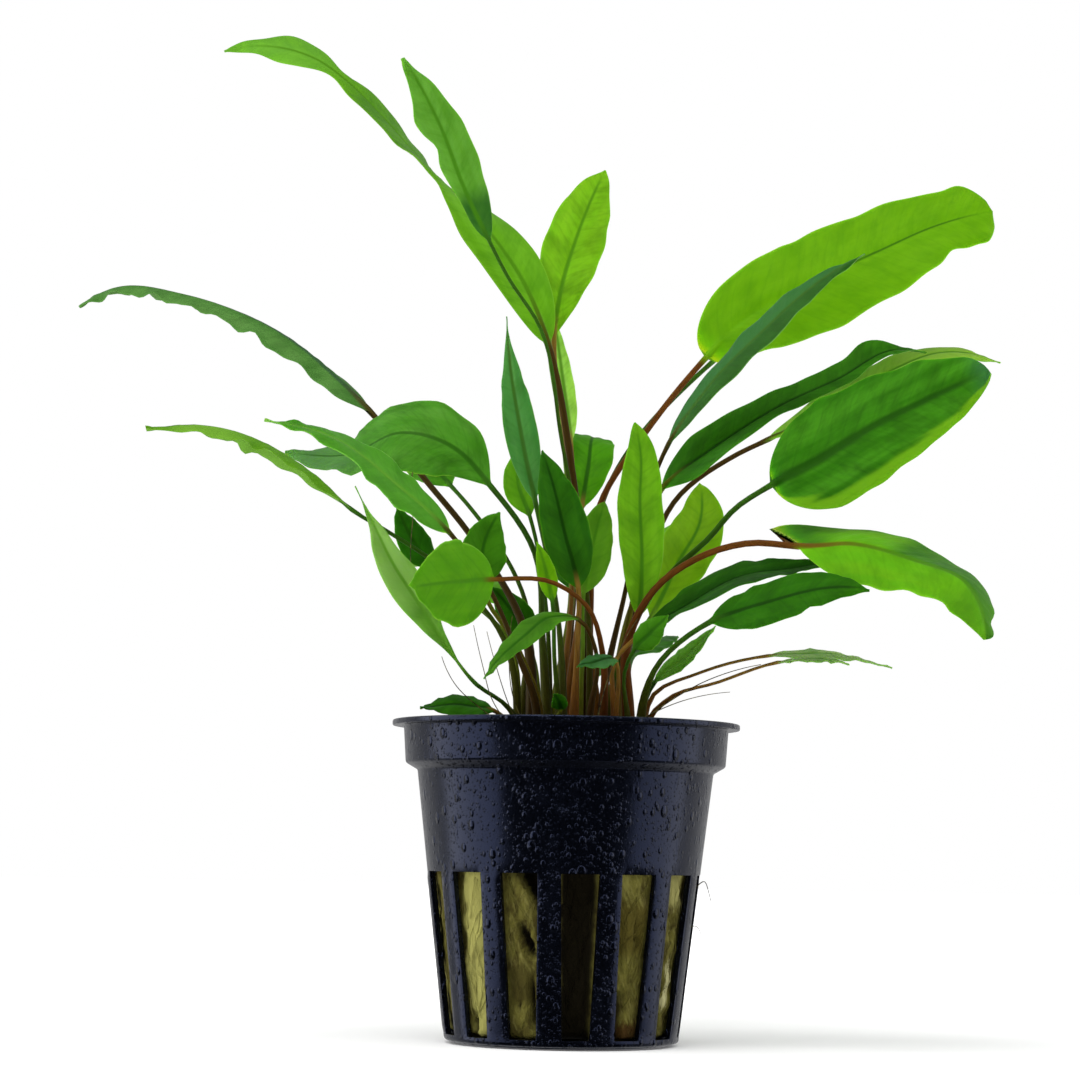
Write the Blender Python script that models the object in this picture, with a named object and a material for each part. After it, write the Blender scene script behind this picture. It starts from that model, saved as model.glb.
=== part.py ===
"""A potted cryptocoryne: an aquarium plant in a slotted plastic net pot filled with rock wool.

Metres, +Z up. The origin is the centre of the pot's base and -Y is the side in the photo. Every leaf is one
solid, petiole and blade together, and the leaf table holds real sizes in millimetres.
"""

import math
from dataclasses import dataclass

import bmesh
import bpy
import numpy as np

MM = 0.001
GAP = 0.4  # between pieces that touch, in mm
MERGE = 0.01  # points nearer than this are one, in mm

# The pot, in mm. The radii are the outer ones.
POT_HEIGHT = 50.2
FLANGE_RADIUS = 27.5
FLANGE_THICKNESS = 0.9
FLANGE_BEVEL = 0.15
LIP_RADIUS_TOP = 25.7
LIP_RADIUS_BOTTOM = 25.3
LIP_BOTTOM = 43.7
LIP_BEVEL = 0.3
STEP_BOTTOM = 42.4
WALL_RADIUS_TOP = 23.4
WALL_RADIUS_BOTTOM = 18.4
BASE_BEVEL = 0.9
WALL = 0.9
FLOOR = 1.1
POT_SEGMENTS = 42  # three to each slot and rib

SLOT_COUNT = 14
SLOT_PITCH = 2 * math.pi / SLOT_COUNT
SLOT_ANGLE_TOP = math.radians(16.2)
SLOT_ANGLE_BOTTOM = math.radians(13.6)
FIRST_SLOT = math.radians(-90 + 7)  # the slot nearest to the side that faces -Y
SLOT_BOTTOM = 1.4
SLOT_TOP = 26.5
SLOT_REACH = 15.5  # how far in the slots are cut
DRAIN_COUNT = 7
DRAIN_ANGLE = math.radians(22)
DRAIN_INNER = 7.5
DRAIN_OUTER = 14.5

# The rock wool, in mm. Two rounds of shallow lumps run round it, and they lean as they rise.
WOOL_BOTTOM = FLOOR + GAP
WOOL_TOP = 46.5
WOOL_SHOULDER = 2.2
WOOL_EDGE = 0.4
WOOL_LEVELS = (7, 14, 21, 28, 36)  # heights of the rings of its side, above its bottom
WOOL_SEGMENTS = 24
LUMP_DEPTH = 0.012  # as a share of the radius
LUMP_ROUNDS = ((5, 0.35), (9, -0.22))  # lumps in a round, and their lean in radians to the mm

# The crown, in mm.
CROWN_BASE = WOOL_TOP + GAP
CROWN_RADIUS = 15.5
CROWN_HEIGHT = 2.6
CROWN_SEGMENTS = 16
CROWN_RINGS = 6

# Colours are linear RGB.
PLASTIC_BLACK = (0.006, 0.007, 0.010)
WOOL_OLIVE = (0.15, 0.13, 0.045)
CROWN_BROWN = (0.06, 0.045, 0.012)
YELLOW_GREEN = (0.14, 0.36, 0.02)
MID_GREEN = (0.07, 0.24, 0.02)
DARK_GREEN = (0.025, 0.11, 0.01)
BLUE_GREEN = (0.05, 0.20, 0.06)
WAXY_GREEN = (0.16, 0.38, 0.07)

# The leaves' mesh: points around a section, and sections along a blade beyond its own points.
SECTION_POINTS = 8
FEWEST_STATIONS = 6
EXTRA_STATIONS = 2
FOOT_RISE = 1.2  # each petiole leaves the crown straight up for this far, in mm
NECK_RADIUS_SHARE = 0.85  # of the petiole's radius at its foot
BLADE_HALF_THICKNESS = 0.32
TIP_RADIUS = 0.12
FOLD_START = 0.17  # the fold is full from this share of the blade onwards


@dataclass(frozen=True)
class Leaf:
    """One leaf. All lengths are millimetres in the part's own frame.

    foot is where the petiole leaves the crown (x, y), stem holds points that the petiole passes on its way
    to the blade, and blade holds the midrib's points from the neck to the tip. faces are the directions that
    the upper side looks in, evenly spaced from neck to tip. fold lifts the margins towards that side, in
    degrees, and widest says how far along the blade its greatest width is. point and base say how sharply the
    blade narrows to its tip and to its neck: 0.5 is round as an ellipse, and more is more pointed.
    """

    name: str
    foot: tuple
    stem: list
    blade: list
    faces: list
    width: float
    stalk: float = 1.3
    fold: float = 0.0
    widest: float = 0.38
    point: float = 1.0
    base: float = 0.7
    colour: tuple = MID_GREEN


LEAVES = [
    Leaf(
        name="arching_top_left",
        foot=(2.6, 2.4),
        stem=[(2.5, 1.5, 70), (0, 2, 92.5)],
        blade=[(-4, 2.5, 111.5), (-8, 3.5, 121.5), (-15, 6, 131.5), (-21.5, 8, 138.5), (-26.5, 9.5, 144),
               (-32, 10.5, 150.5), (-37.5, 11, 156), (-44, 12, 160.5), (-51.5, 13, 162.5), (-59, 14, 162)],
        faces=[(0.3, -1, 0.2), (0.3, -1, 0.2), (0.45, -0.8, 0.35), (0.7, -0.2, 0.65),
               (0.6, -0.35, 0.7), (0.5, -0.5, 0.7), (0.3, -0.8, 0.5), (0.15, -1, 0.25)],
        width=10.5, stalk=1.7, widest=0.27, point=0.4, colour=YELLOW_GREEN, base=0.6,
    ),
    Leaf(
        name="upright_tall",
        foot=(3.6, -1.4),
        stem=[(3, -3, 69.5), (-1.5, -3.5, 95), (-5.5, -4, 113.5), (-10.5, -4, 121)],
        blade=[(-13.5, -5, 126.5), (-17.6, -7, 134.5), (-21.3, -10, 143.5), (-27.5, -15, 153.5)],
        faces=[(0.1, -1, 0.1), (-0.1, -1, 0.2), (0.2, -0.9, 0.3)],
        width=7.8, stalk=1.6, widest=0.42,
    ),
    Leaf(
        name="broad_top",
        foot=(0.2, 5.0),
        stem=[(2, 4.5, 70), (-0.5, 4.5, 94.5)],
        blade=[(-3, 5, 113), (-2, 6, 121), (0.3, 9, 130), (5, 15, 143)],
        faces=[(0.1, -1, 0.1)],
        width=9.8, stalk=1.4, widest=0.5, colour=YELLOW_GREEN, base=0.95, point=0.8,
    ),
    Leaf(
        name="narrow_behind_stems",
        foot=(-0.8, 8.2),
        stem=[(0.5, 10, 70.5)],
        blade=[(0, 13, 97), (-1.5, 14, 107.5), (-3, 13, 117.5)],
        faces=[(0, -1, 0)],
        width=3.6, stalk=1.1, colour=WAXY_GREEN,
    ),
    Leaf(
        name="bent_back",
        foot=(5.0, 6.2),
        stem=[(2.2, 7.4, 70.5)],
        blade=[(2, 12, 86), (3, 15, 93.5), (3.5, 20, 98.5), (5, 28, 97)],
        faces=[(0, -1, 0.2), (0, -0.9, 0.5), (0, -0.3, 1)],
        width=8, stalk=1.1, widest=0.5,
    ),
    Leaf(
        name="blue_green_upright",
        foot=(-0.6, -3.6),
        stem=[(-1.5, -5, 66)],
        blade=[(-5.5, -6, 85), (-8, -7, 96), (-9.5, -8, 104.5), (-10.5, -10, 113.5)],
        faces=[(-0.35, -1, 0.2)],
        width=5.4, stalk=1.2, widest=0.42, colour=BLUE_GREEN,
    ),
    Leaf(
        name="pale_behind_stems",
        foot=(-2.8, 3.4),
        stem=[(-3.5, 4, 68.5)],
        blade=[(-6.5, 7, 84), (-8.5, 9, 89.5), (-7.5, 13, 96)],
        faces=[(0.2, -1, 0)],
        width=5, stalk=1.0, colour=YELLOW_GREEN,
    ),
    Leaf(
        name="folded_center",
        foot=(1.2, -7.4),
        stem=[(1.5, -8, 61)],
        blade=[(1.5, -9, 71), (-0.5, -10, 78.5), (-2, -10, 84.5), (-4.5, -9, 92.5)],
        faces=[(0.1, -1, 0.15)],
        width=10, stalk=1.3, fold=28, colour=DARK_GREEN,
    ),
    Leaf(
        name="folded_center_right",
        foot=(2.0, -4.4),
        stem=[(2.4, -4.6, 61)],
        blade=[(2.4, -5, 70.5), (3.6, -5, 77.5), (5.5, -4.5, 85)],
        faces=[(0.1, -1, 0.15)],
        width=6.5, stalk=1.1, point=0.7,
    ),
    Leaf(
        name="small_pale_center",
        foot=(-1.2, -9.6),
        stem=[(-2, -11, 59.5)],
        blade=[(-2.5, -12, 68.5), (-3.5, -13, 73), (-5, -14, 77.5)],
        faces=[(0, -1, 0.1)],
        width=3, stalk=1.0, colour=YELLOW_GREEN,
    ),
    Leaf(
        name="broad_left",
        foot=(-3.2, -1.2),
        stem=[(-4, -2, 63), (-5.5, -4, 77)],
        blade=[(-12.5, -6, 87), (-18.5, -7, 93), (-27, -7, 95), (-35.5, -5, 92), (-45.5, -3, 92)],
        faces=[(-0.1, -0.95, 0.3), (-0.15, -0.9, 0.4), (-0.2, -0.6, 0.7), (-0.2, -0.35, 0.9)],
        width=15, stalk=1.4, widest=0.48, point=1.2, base=1.05,
    ),
    Leaf(
        name="waxy_left",
        foot=(-4.6, -7.6),
        stem=[(-8, -9.5, 61), (-14, -13.5, 73)],
        blade=[(-18.5, -16, 78.5), (-25.5, -20, 84.5), (-32, -24, 89.5), (-38, -28, 92), (-46, -31, 93.5)],
        faces=[(-0.1, -0.8, 0.6), (-0.2, -0.7, 0.7), (-0.1, -0.5, 0.85)],
        width=9, stalk=1.1, widest=0.35, colour=WAXY_GREEN,
    ),
    Leaf(
        name="ruffled_upper_left",
        foot=(-5.6, 2.8),
        stem=[(-6.5, 4, 63.5), (-16, 6, 80.5), (-23.5, 7, 89.5)],
        blade=[(-33, 9, 101), (-41.5, 11, 109.2), (-52.5, 13, 116.5), (-64.5, 15, 121),
               (-76.5, 17, 122), (-82.5, 18, 119)],
        faces=[(-0.3, -0.3, 1), (-0.1, -0.1, 1)],
        width=8.5, stalk=1.5, fold=-38, widest=0.45, point=0.8, colour=BLUE_GREEN,
    ),
    Leaf(
        name="ruffled_lower_left",
        foot=(-7.8, 0.6),
        stem=[(-10, 0, 63), (-20.5, -3, 74.5), (-28.5, -6, 79.5)],
        blade=[(-34, -9, 82.5), (-39.5, -12, 87.3), (-46, -15, 91.5), (-52.5, -18, 93.5),
               (-58.5, -20, 94), (-65, -22, 93)],
        faces=[(-0.3, -0.3, 1), (-0.1, -0.1, 1)],
        width=8, stalk=1.0, fold=-32, widest=0.42, point=0.8,
    ),
    Leaf(
        name="bright_facing",
        foot=(5.8, -8.4),
        stem=[(5.5, -10, 60.5), (3, -14, 67.5), (-2.5, -17, 71)],
        blade=[(-11.5, -20, 71), (-17, -26, 70), (-23.5, -33, 68.5)],
        faces=[(0.73, -0.68, 0)],
        width=13.5, stalk=1.1, widest=0.4, point=0.5, colour=YELLOW_GREEN, base=0.5,
    ),
    Leaf(
        name="dark_left",
        foot=(-7.8, 4.2),
        stem=[(-9.5, 5, 63.5), (-18, 3, 71.5)],
        blade=[(-22, 2, 75), (-25, 1, 79), (-27.5, -1, 84)],
        faces=[(0.2, -1, 0.2)],
        width=5.5, stalk=1.0, colour=DARK_GREEN,
    ),
    Leaf(
        name="folded_left",
        foot=(-4.2, -5.0),
        stem=[(-7.5, -6.5, 61)],
        blade=[(-13.5, -9, 71), (-13.5, -10, 76.5), (-11, -10, 82.5)],
        faces=[(0.3, -0.9, 0.2)],
        width=8, stalk=1.1, fold=20,
    ),
    Leaf(
        name="long_narrow_left",
        foot=(-8.0, -4.8),
        stem=[(-9.5, -6, 52.5)],
        blade=[(-14, -8, 55.5), (-18.6, -11, 61), (-23, -14, 67.5), (-27, -17, 73.5),
               (-29.6, -19, 78.5), (-33, -20, 85)],
        faces=[(-0.5, -0.8, 0.3), (-0.3, -0.9, 0.3), (-0.5, -0.7, 0.4)],
        width=8, stalk=1.0, fold=25, widest=0.6, point=1.1, colour=WAXY_GREEN,
    ),
    Leaf(
        name="small_arching_front",
        foot=(3.6, -10.8),
        stem=[(4.6, -12, 60)],
        blade=[(1.5, -16, 65.5), (-2.5, -18, 65.5), (-6.5, -21, 62.5), (-9.5, -23, 59.5), (-12.5, -25, 55.5)],
        faces=[(0, -0.5, 0.9)],
        width=5, stalk=1.0,
    ),
    Leaf(
        name="small_dark_front",
        foot=(7.6, -9.6),
        stem=[(8, -11, 56.5)],
        blade=[(7.5, -13, 59.5), (4.5, -16, 59), (1.5, -18, 58)],
        faces=[(0, -0.6, 0.8)],
        width=4, stalk=0.9, colour=DARK_GREEN,
    ),
    Leaf(
        name="newest_front",
        foot=(-1.8, -12.0),
        stem=[],
        blade=[(-0.9, -12.5, 51.5), (-1.2, -13.2, 52.8), (-2, -14, 54)],
        faces=[(0, -1, 0.2)],
        width=2.6, stalk=0.9, colour=DARK_GREEN,
    ),
    Leaf(
        name="over_rim_left",
        foot=(-9.8, -1.8),
        stem=[],
        blade=[(-11.5, -3, 51.8), (-17, -4, 52.5), (-23, -5, 51.9)],
        faces=[(0, -0.3, 1)],
        width=6, stalk=1.0, colour=DARK_GREEN,
    ),
    Leaf(
        name="dark_behind_left",
        foot=(-5.2, 6.4),
        stem=[(-5.5, 7.5, 60.5)],
        blade=[(-6, 8.5, 64), (-9, 9, 68.5), (-12.5, 9.5, 72.5)],
        faces=[(-0.1, -1, 0.2)],
        width=5.5, stalk=1.0, colour=DARK_GREEN,
    ),
    Leaf(
        name="folded_upright_right",
        foot=(6.4, -3.6),
        stem=[(8.2, -3.2, 60)],
        blade=[(11, -3.8, 67), (11.5, -5.5, 75.5), (11, -7.5, 85), (11, -9, 92), (10, -10, 97)],
        faces=[(0, -1, 0.1)],
        width=8, stalk=1.3, fold=25, widest=0.5, point=0.7, colour=WAXY_GREEN,
    ),
    Leaf(
        name="broad_behind_right",
        foot=(6.6, 6.8),
        stem=[(8.5, 7, 60)],
        blade=[(13.5, 9, 68), (17.5, 12, 76.5), (21.5, 15, 84.5), (21.5, 18, 91)],
        faces=[(-0.1, -1, 0.1)],
        width=9.5, stalk=1.2, widest=0.5, point=0.7, colour=YELLOW_GREEN,
    ),
    Leaf(
        name="small_right",
        foot=(9.6, -7.2),
        stem=[(9, -8, 58)],
        blade=[(10.5, -10, 61.5), (13, -12, 64), (15.5, -13.5, 66.5)],
        faces=[(0, -0.9, 0.4)],
        width=4.5, stalk=0.9,
    ),
    Leaf(
        name="large_upper_right",
        foot=(3.6, 9.8),
        stem=[(3.5, 10.5, 69), (5, 10, 86.5), (12, 10, 98)],
        blade=[(22, 11, 111), (28.5, 12, 118), (39.5, 14, 124), (50, 17, 130),
               (60.5, 20, 135.5), (70.5, 23, 138.5)],
        faces=[(-0.1, -1, 0.15), (-0.1, -0.95, 0.3)],
        width=17, stalk=1.5, widest=0.42, point=0.33, colour=YELLOW_GREEN, base=0.45,
    ),
    Leaf(
        name="blue_green_right",
        foot=(5.6, -1.0),
        stem=[(9, -1, 71), (12.5, -2, 87)],
        blade=[(15.5, -4, 94.5), (21.3, -6, 103), (28.5, -9, 110.5), (36, -12, 117.5), (45.5, -14, 123.5)],
        faces=[(-0.5, -0.7, 0.5)],
        width=8, stalk=1.1, widest=0.5, colour=BLUE_GREEN,
    ),
    Leaf(
        name="dark_right",
        foot=(8.0, 0.2),
        stem=[(11, 0, 73.5)],
        blade=[(14.5, -1, 87.5), (21.5, -2, 93.5), (30.5, -2, 99.5), (42.5, 1, 106), (51.5, 4, 111.5),
               (57.5, 7, 111.5)],
        faces=[(-0.4, -0.7, 0.6)],
        width=11, stalk=1.3, fold=18, widest=0.22, colour=DARK_GREEN, base=1.0,
    ),
    Leaf(
        name="large_right",
        foot=(9.2, 2.0),
        stem=[(11.5, 1, 68.5), (17, -1, 75), (22, -4, 79.5), (26, -7, 84)],
        blade=[(31.5, -10, 87.5), (39, -14, 91.5), (48, -18, 96.5), (57, -22, 101), (63.5, -25, 103.5)],
        faces=[(-0.2, -0.95, 0.3)],
        width=18, stalk=1.4, widest=0.32, point=0.8, colour=DARK_GREEN, base=0.55,
    ),
    Leaf(
        name="behind_large_right",
        foot=(8.4, 5.2),
        stem=[(11.5, 6, 70.5), (17.5, 9, 87.5), (27, 12, 95)],
        blade=[(32.5, 14, 98), (41, 17, 103), (50.5, 21, 109.5), (62, 24, 114.5), (72.5, 27, 113.5)],
        faces=[(-0.3, -0.5, 0.8), (-0.2, -0.7, 0.6)],
        width=9, stalk=1.3, colour=YELLOW_GREEN,
    ),
    Leaf(
        name="drooping_right",
        foot=(9.8, -4.0),
        stem=[(9.6, -5.2, 63.5), (13.5, -7.5, 71), (20.5, -10, 76), (28, -12.5, 78)],
        blade=[(35.5, -14, 77.5), (43.5, -18, 77.3), (51.5, -23, 75.2), (59.5, -28, 70.5), (62.3, -31, 62.3)],
        faces=[(0, -0.75, 0.65), (0, -0.75, 0.65), (0.3, -0.6, 0.7), (0.7, -0.55, 0.45)],
        width=15.5, stalk=2.0, fold=-15, widest=0.45, colour=YELLOW_GREEN, base=0.75, point=0.6,
    ),
    Leaf(
        name="dark_low_right",
        foot=(7.6, -6.8),
        stem=[(7.6, -7, 60)],
        blade=[(11.5, -7, 64), (19, -7.5, 69), (28.5, -6.5, 73.7), (35, -5, 75), (41.5, -4, 76)],
        faces=[(-0.2, -0.5, 0.85)],
        width=8.5, stalk=1.1, fold=15, colour=DARK_GREEN, base=1.0,
    ),
    Leaf(
        name="oval_low_right",
        foot=(11.6, -6.8),
        stem=[(13.5, -10, 58)],
        blade=[(22, -15, 65.5), (30, -20, 68), (38, -25, 70), (45, -29, 69.5)],
        faces=[(0, -0.9, 0.45)],
        width=8.2, stalk=1.3, colour=DARK_GREEN,
    ),
    Leaf(
        name="thin_lowest_right",
        foot=(12.4, 1.4),
        stem=[(13.5, 1, 54.5), (21, 1, 58.5)],
        blade=[(32, 2, 61.5), (41, 3, 62), (52, 4, 60)],
        faces=[(0, -0.3, 1)],
        width=5.5, stalk=0.9, colour=WAXY_GREEN,
    ),
    Leaf(
        name="thin_lowest_front",
        foot=(12.8, -2.4),
        stem=[(16, -5, 54), (23.5, -9, 56.5)],
        blade=[(32.5, -13, 59.5), (38, -16, 60), (43, -19, 59)],
        faces=[(0, -0.3, 1)],
        width=3.5, stalk=0.9, colour=WAXY_GREEN,
    ),
    Leaf(
        name="narrow_low_right",
        foot=(12.0, 4.4),
        stem=[],
        blade=[(14, 2, 57), (18.5, 1, 61), (23.5, 0, 66)],
        faces=[(-0.5, -0.8, 0.4)],
        width=3.4, stalk=1.0, colour=WAXY_GREEN,
    ),
    Leaf(
        name="back_left",
        foot=(-7.2, 8.4),
        stem=[(-7, 15, 70.5), (-16.5, 20, 86.5)],
        blade=[(-20, 22, 90.5), (-25, 30, 96), (-32, 38, 99)],
        faces=[(-0.2, -0.8, 0.6)],
        width=8, stalk=1.1,
    ),
    Leaf(
        name="back_right",
        foot=(7.4, 9.8),
        stem=[(9, 20, 65)],
        blade=[(12, 32, 75), (16, 44, 83.5), (21, 55, 89)],
        faces=[(-0.2, -0.7, 0.7), (0, -0.3, 1)],
        width=9, stalk=1.3,
    ),
    Leaf(
        name="back_center",
        foot=(0.6, 11.6),
        stem=[(0.5, 18, 64.5)],
        blade=[(1, 30, 74), (0.5, 44, 85), (-0.5, 58, 92)],
        faces=[(0, -0.7, 0.7), (0, -0.3, 1)],
        width=10, stalk=1.4, colour=DARK_GREEN,
    ),
    Leaf(
        name="back_low_left",
        foot=(-4.8, 9.8),
        stem=[(-5.5, 16, 61)],
        blade=[(-11.5, 26, 71), (-19.5, 40, 77.5), (-28, 54, 80)],
        faces=[(0, -0.5, 0.85), (0, -0.1, 1)],
        width=8.5, stalk=1.2,
    ),
    Leaf(
        name="back_low_right",
        foot=(10.4, 7.6),
        stem=[(10, 13, 58)],
        blade=[(11, 22, 62.5), (15, 34, 66), (19, 46, 67.5)],
        faces=[(0, -0.5, 0.85), (0, -0.1, 1)],
        width=7, stalk=1.1, colour=DARK_GREEN,
    ),
    Leaf(
        name="back_lowest",
        foot=(-1.8, 13.0),
        stem=[(1, 18, 55)],
        blade=[(2, 24, 57.5), (3.5, 36, 61.5), (5, 48, 62.5)],
        faces=[(0, -0.2, 1)],
        width=6.5, stalk=1.0,
    ),
    Leaf(
        name="back_high_right",
        foot=(4.0, 12.6),
        stem=[(3.5, 16, 69.5), (5.5, 20, 88)],
        blade=[(24, 30, 113.5), (39, 42, 125.5), (56, 56, 133)],
        faces=[(-0.4, -0.6, 0.7)],
        width=9, stalk=1.3,
    ),
    Leaf(
        name="back_upright",
        foot=(-2.0, 11.4),
        stem=[(0.5, 15, 71), (-1, 18, 96)],
        blade=[(-4, 22, 116), (-3.5, 28, 125), (-1.5, 34, 132.5)],
        faces=[(0, -1, 0.2)],
        width=5.5, stalk=1.3, colour=DARK_GREEN,
    ),
]


def clear_scene():
    """Removes every object, so that the scene starts empty."""
    for obj in list(bpy.data.objects):
        bpy.data.objects.remove(obj, do_unlink=True)


def make_material(name, colour, roughness):
    """A Principled material with one plain colour."""
    material = bpy.data.materials.new(name)
    material.use_nodes = True
    shader = material.node_tree.nodes["Principled BSDF"]
    shader.inputs["Base Color"].default_value = (*colour, 1)
    shader.inputs["Roughness"].default_value = roughness
    shader.inputs["Metallic"].default_value = 0
    material.diffuse_color = (*colour, 1)
    return material


def add_object(name, bm, material, smooth_angle=40):
    """Turns a bmesh into an object of the scene, smooth where its faces meet at less than the angle."""
    bmesh.ops.recalc_face_normals(bm, faces=bm.faces)
    mesh = bpy.data.meshes.new(name)
    bm.to_mesh(mesh)
    bm.free()
    mesh.shade_smooth()
    mesh.set_sharp_from_angle(angle=math.radians(smooth_angle))
    mesh.materials.append(material)
    obj = bpy.data.objects.new(name, mesh)
    bpy.context.scene.collection.objects.link(obj)
    return obj


def wall_radius(height):
    """The pot wall's outer radius at a height, in mm."""
    share = (height - BASE_BEVEL) / (STEP_BOTTOM - BASE_BEVEL)
    return WALL_RADIUS_BOTTOM + share * (WALL_RADIUS_TOP - WALL_RADIUS_BOTTOM)


def pot_profile():
    """The turned pot's closed outline, as (radius, height) in mm, from the middle of its base outwards."""
    outer = [
        (0.0, 0.0),
        (WALL_RADIUS_BOTTOM - BASE_BEVEL, 0.0),
        (WALL_RADIUS_BOTTOM, BASE_BEVEL),
        (WALL_RADIUS_TOP, STEP_BOTTOM),
        (LIP_RADIUS_BOTTOM - LIP_BEVEL, LIP_BOTTOM - LIP_BEVEL),
        (LIP_RADIUS_BOTTOM, LIP_BOTTOM),
        (LIP_RADIUS_TOP, POT_HEIGHT - FLANGE_THICKNESS),
        (FLANGE_RADIUS, POT_HEIGHT - FLANGE_THICKNESS),
        (FLANGE_RADIUS, POT_HEIGHT - FLANGE_BEVEL),
        (FLANGE_RADIUS - FLANGE_BEVEL, POT_HEIGHT),
    ]
    inner = [
        (LIP_RADIUS_TOP - WALL + LIP_BEVEL, POT_HEIGHT),
        (LIP_RADIUS_TOP - WALL, POT_HEIGHT - 2 * LIP_BEVEL),
        (LIP_RADIUS_BOTTOM - WALL, LIP_BOTTOM + WALL),
        (WALL_RADIUS_TOP - WALL, STEP_BOTTOM + WALL),
        (wall_radius(FLOOR) - WALL, FLOOR),
        (0.0, FLOOR),
    ]
    return outer + inner


def wedge(bm, middle, angles, radii, heights):
    """Adds a closed block across a radius. Its angles and heights are at the bottom and top."""
    block = bmesh.ops.create_cube(bm, size=1)["verts"]
    for vert in block:
        radius = radii[vert.co.x > 0]
        angle = angles[vert.co.z > 0]
        turn = middle + (angle / 2 if vert.co.y > 0 else -angle / 2)
        height = heights[vert.co.z > 0]
        vert.co = (radius * math.cos(turn) * MM, radius * math.sin(turn) * MM, height * MM)


def turned(profile, segments):
    """A closed bmesh, turned about Z from an outline of (radius, height) in mm that starts and ends on Z."""
    bm = bmesh.new()
    verts = [bm.verts.new((radius * MM, 0, height * MM)) for radius, height in profile]
    edges = [bm.edges.new(pair) for pair in zip(verts, verts[1:])]
    bmesh.ops.spin(
        bm, geom=verts + edges, axis=(0, 0, 1), cent=(0, 0, 0), angle=2 * math.pi, steps=segments
    )
    bmesh.ops.remove_doubles(bm, verts=bm.verts, dist=MERGE * MM)
    return bm


def build_pot():
    """The net pot: a turned shell, cut through by the slots of the wall and the drains of the base."""
    bm = turned(pot_profile(), POT_SEGMENTS)
    pot = add_object("pot", bm, make_material("black_plastic", PLASTIC_BLACK, 0.25), 30)

    cutter_mesh = bmesh.new()
    for index in range(SLOT_COUNT):
        middle = FIRST_SLOT + index * SLOT_PITCH
        angles = (SLOT_ANGLE_BOTTOM, SLOT_ANGLE_TOP)
        wedge(cutter_mesh, middle, angles, (SLOT_REACH, FLANGE_RADIUS), (SLOT_BOTTOM, SLOT_TOP))
    for index in range(DRAIN_COUNT):
        middle = FIRST_SLOT + index * 2 * SLOT_PITCH
        angles = (DRAIN_ANGLE, DRAIN_ANGLE)
        wedge(cutter_mesh, middle, angles, (DRAIN_INNER, DRAIN_OUTER), (-FLOOR, 2 * FLOOR))
    cutter = add_object("slot_cutter", cutter_mesh, pot.active_material)
    cutter.hide_render = True
    cutter.display_type = "WIRE"
    cut = pot.modifiers.new("slots", "BOOLEAN")
    cut.operation = "DIFFERENCE"
    cut.object = cutter


def build_rock_wool():
    """The mineral wool plug: it follows the pot's inner wall, with shallow lumps all over."""
    heights = [WOOL_BOTTOM + level for level in (WOOL_EDGE, *WOOL_LEVELS)]
    side = [(wall_radius(height) - WALL - GAP, height) for height in heights]
    shoulder = wall_radius(WOOL_TOP - WOOL_SHOULDER) - WALL - 2 * GAP
    profile = [
        (0.0, WOOL_BOTTOM),
        (side[0][0] - 2 * WOOL_EDGE, WOOL_BOTTOM),
        *side,
        (shoulder, WOOL_TOP - WOOL_SHOULDER),
        (shoulder - 4 * WOOL_EDGE, WOOL_TOP - WOOL_EDGE),
        (CROWN_RADIUS, WOOL_TOP),
        (0.0, WOOL_TOP),
    ]
    bm = turned(profile, WOOL_SEGMENTS)
    for vert in bm.verts:
        turn = math.atan2(vert.co.y, vert.co.x)
        height = vert.co.z / MM
        lump = sum(math.sin(count * turn + lean * height) for count, lean in LUMP_ROUNDS)
        push = 1 - LUMP_DEPTH * (1 + lump / len(LUMP_ROUNDS))
        vert.co.x *= push
        vert.co.y *= push
    add_object("rock_wool", bm, make_material("wool_olive", WOOL_OLIVE, 0.95), 60)


def crown_top(x, y):
    """The height of the crown's upper side at a place, in mm."""
    share = min(math.hypot(x, y) / CROWN_RADIUS, 1)
    return CROWN_BASE + CROWN_HEIGHT * math.sqrt(1 - share**2)


def build_crown():
    """The rhizome: a low dome on the wool, with a flat underside."""
    bm = bmesh.new()
    bmesh.ops.create_uvsphere(
        bm, u_segments=CROWN_SEGMENTS, v_segments=CROWN_RINGS, radius=CROWN_RADIUS * MM
    )
    below = [vert for vert in bm.verts if vert.co.z < -MERGE * MM]
    bmesh.ops.delete(bm, geom=below, context="VERTS")
    rim = [edge for edge in bm.edges if edge.is_boundary]
    bmesh.ops.holes_fill(bm, edges=rim, sides=0)
    for vert in bm.verts:
        vert.co.z = vert.co.z * CROWN_HEIGHT / CROWN_RADIUS + CROWN_BASE * MM
    add_object("crown", bm, make_material("crown_brown", CROWN_BROWN, 0.7), 60)


def unit(vector):
    """The vector at length one."""
    return vector / np.linalg.norm(vector)


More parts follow.
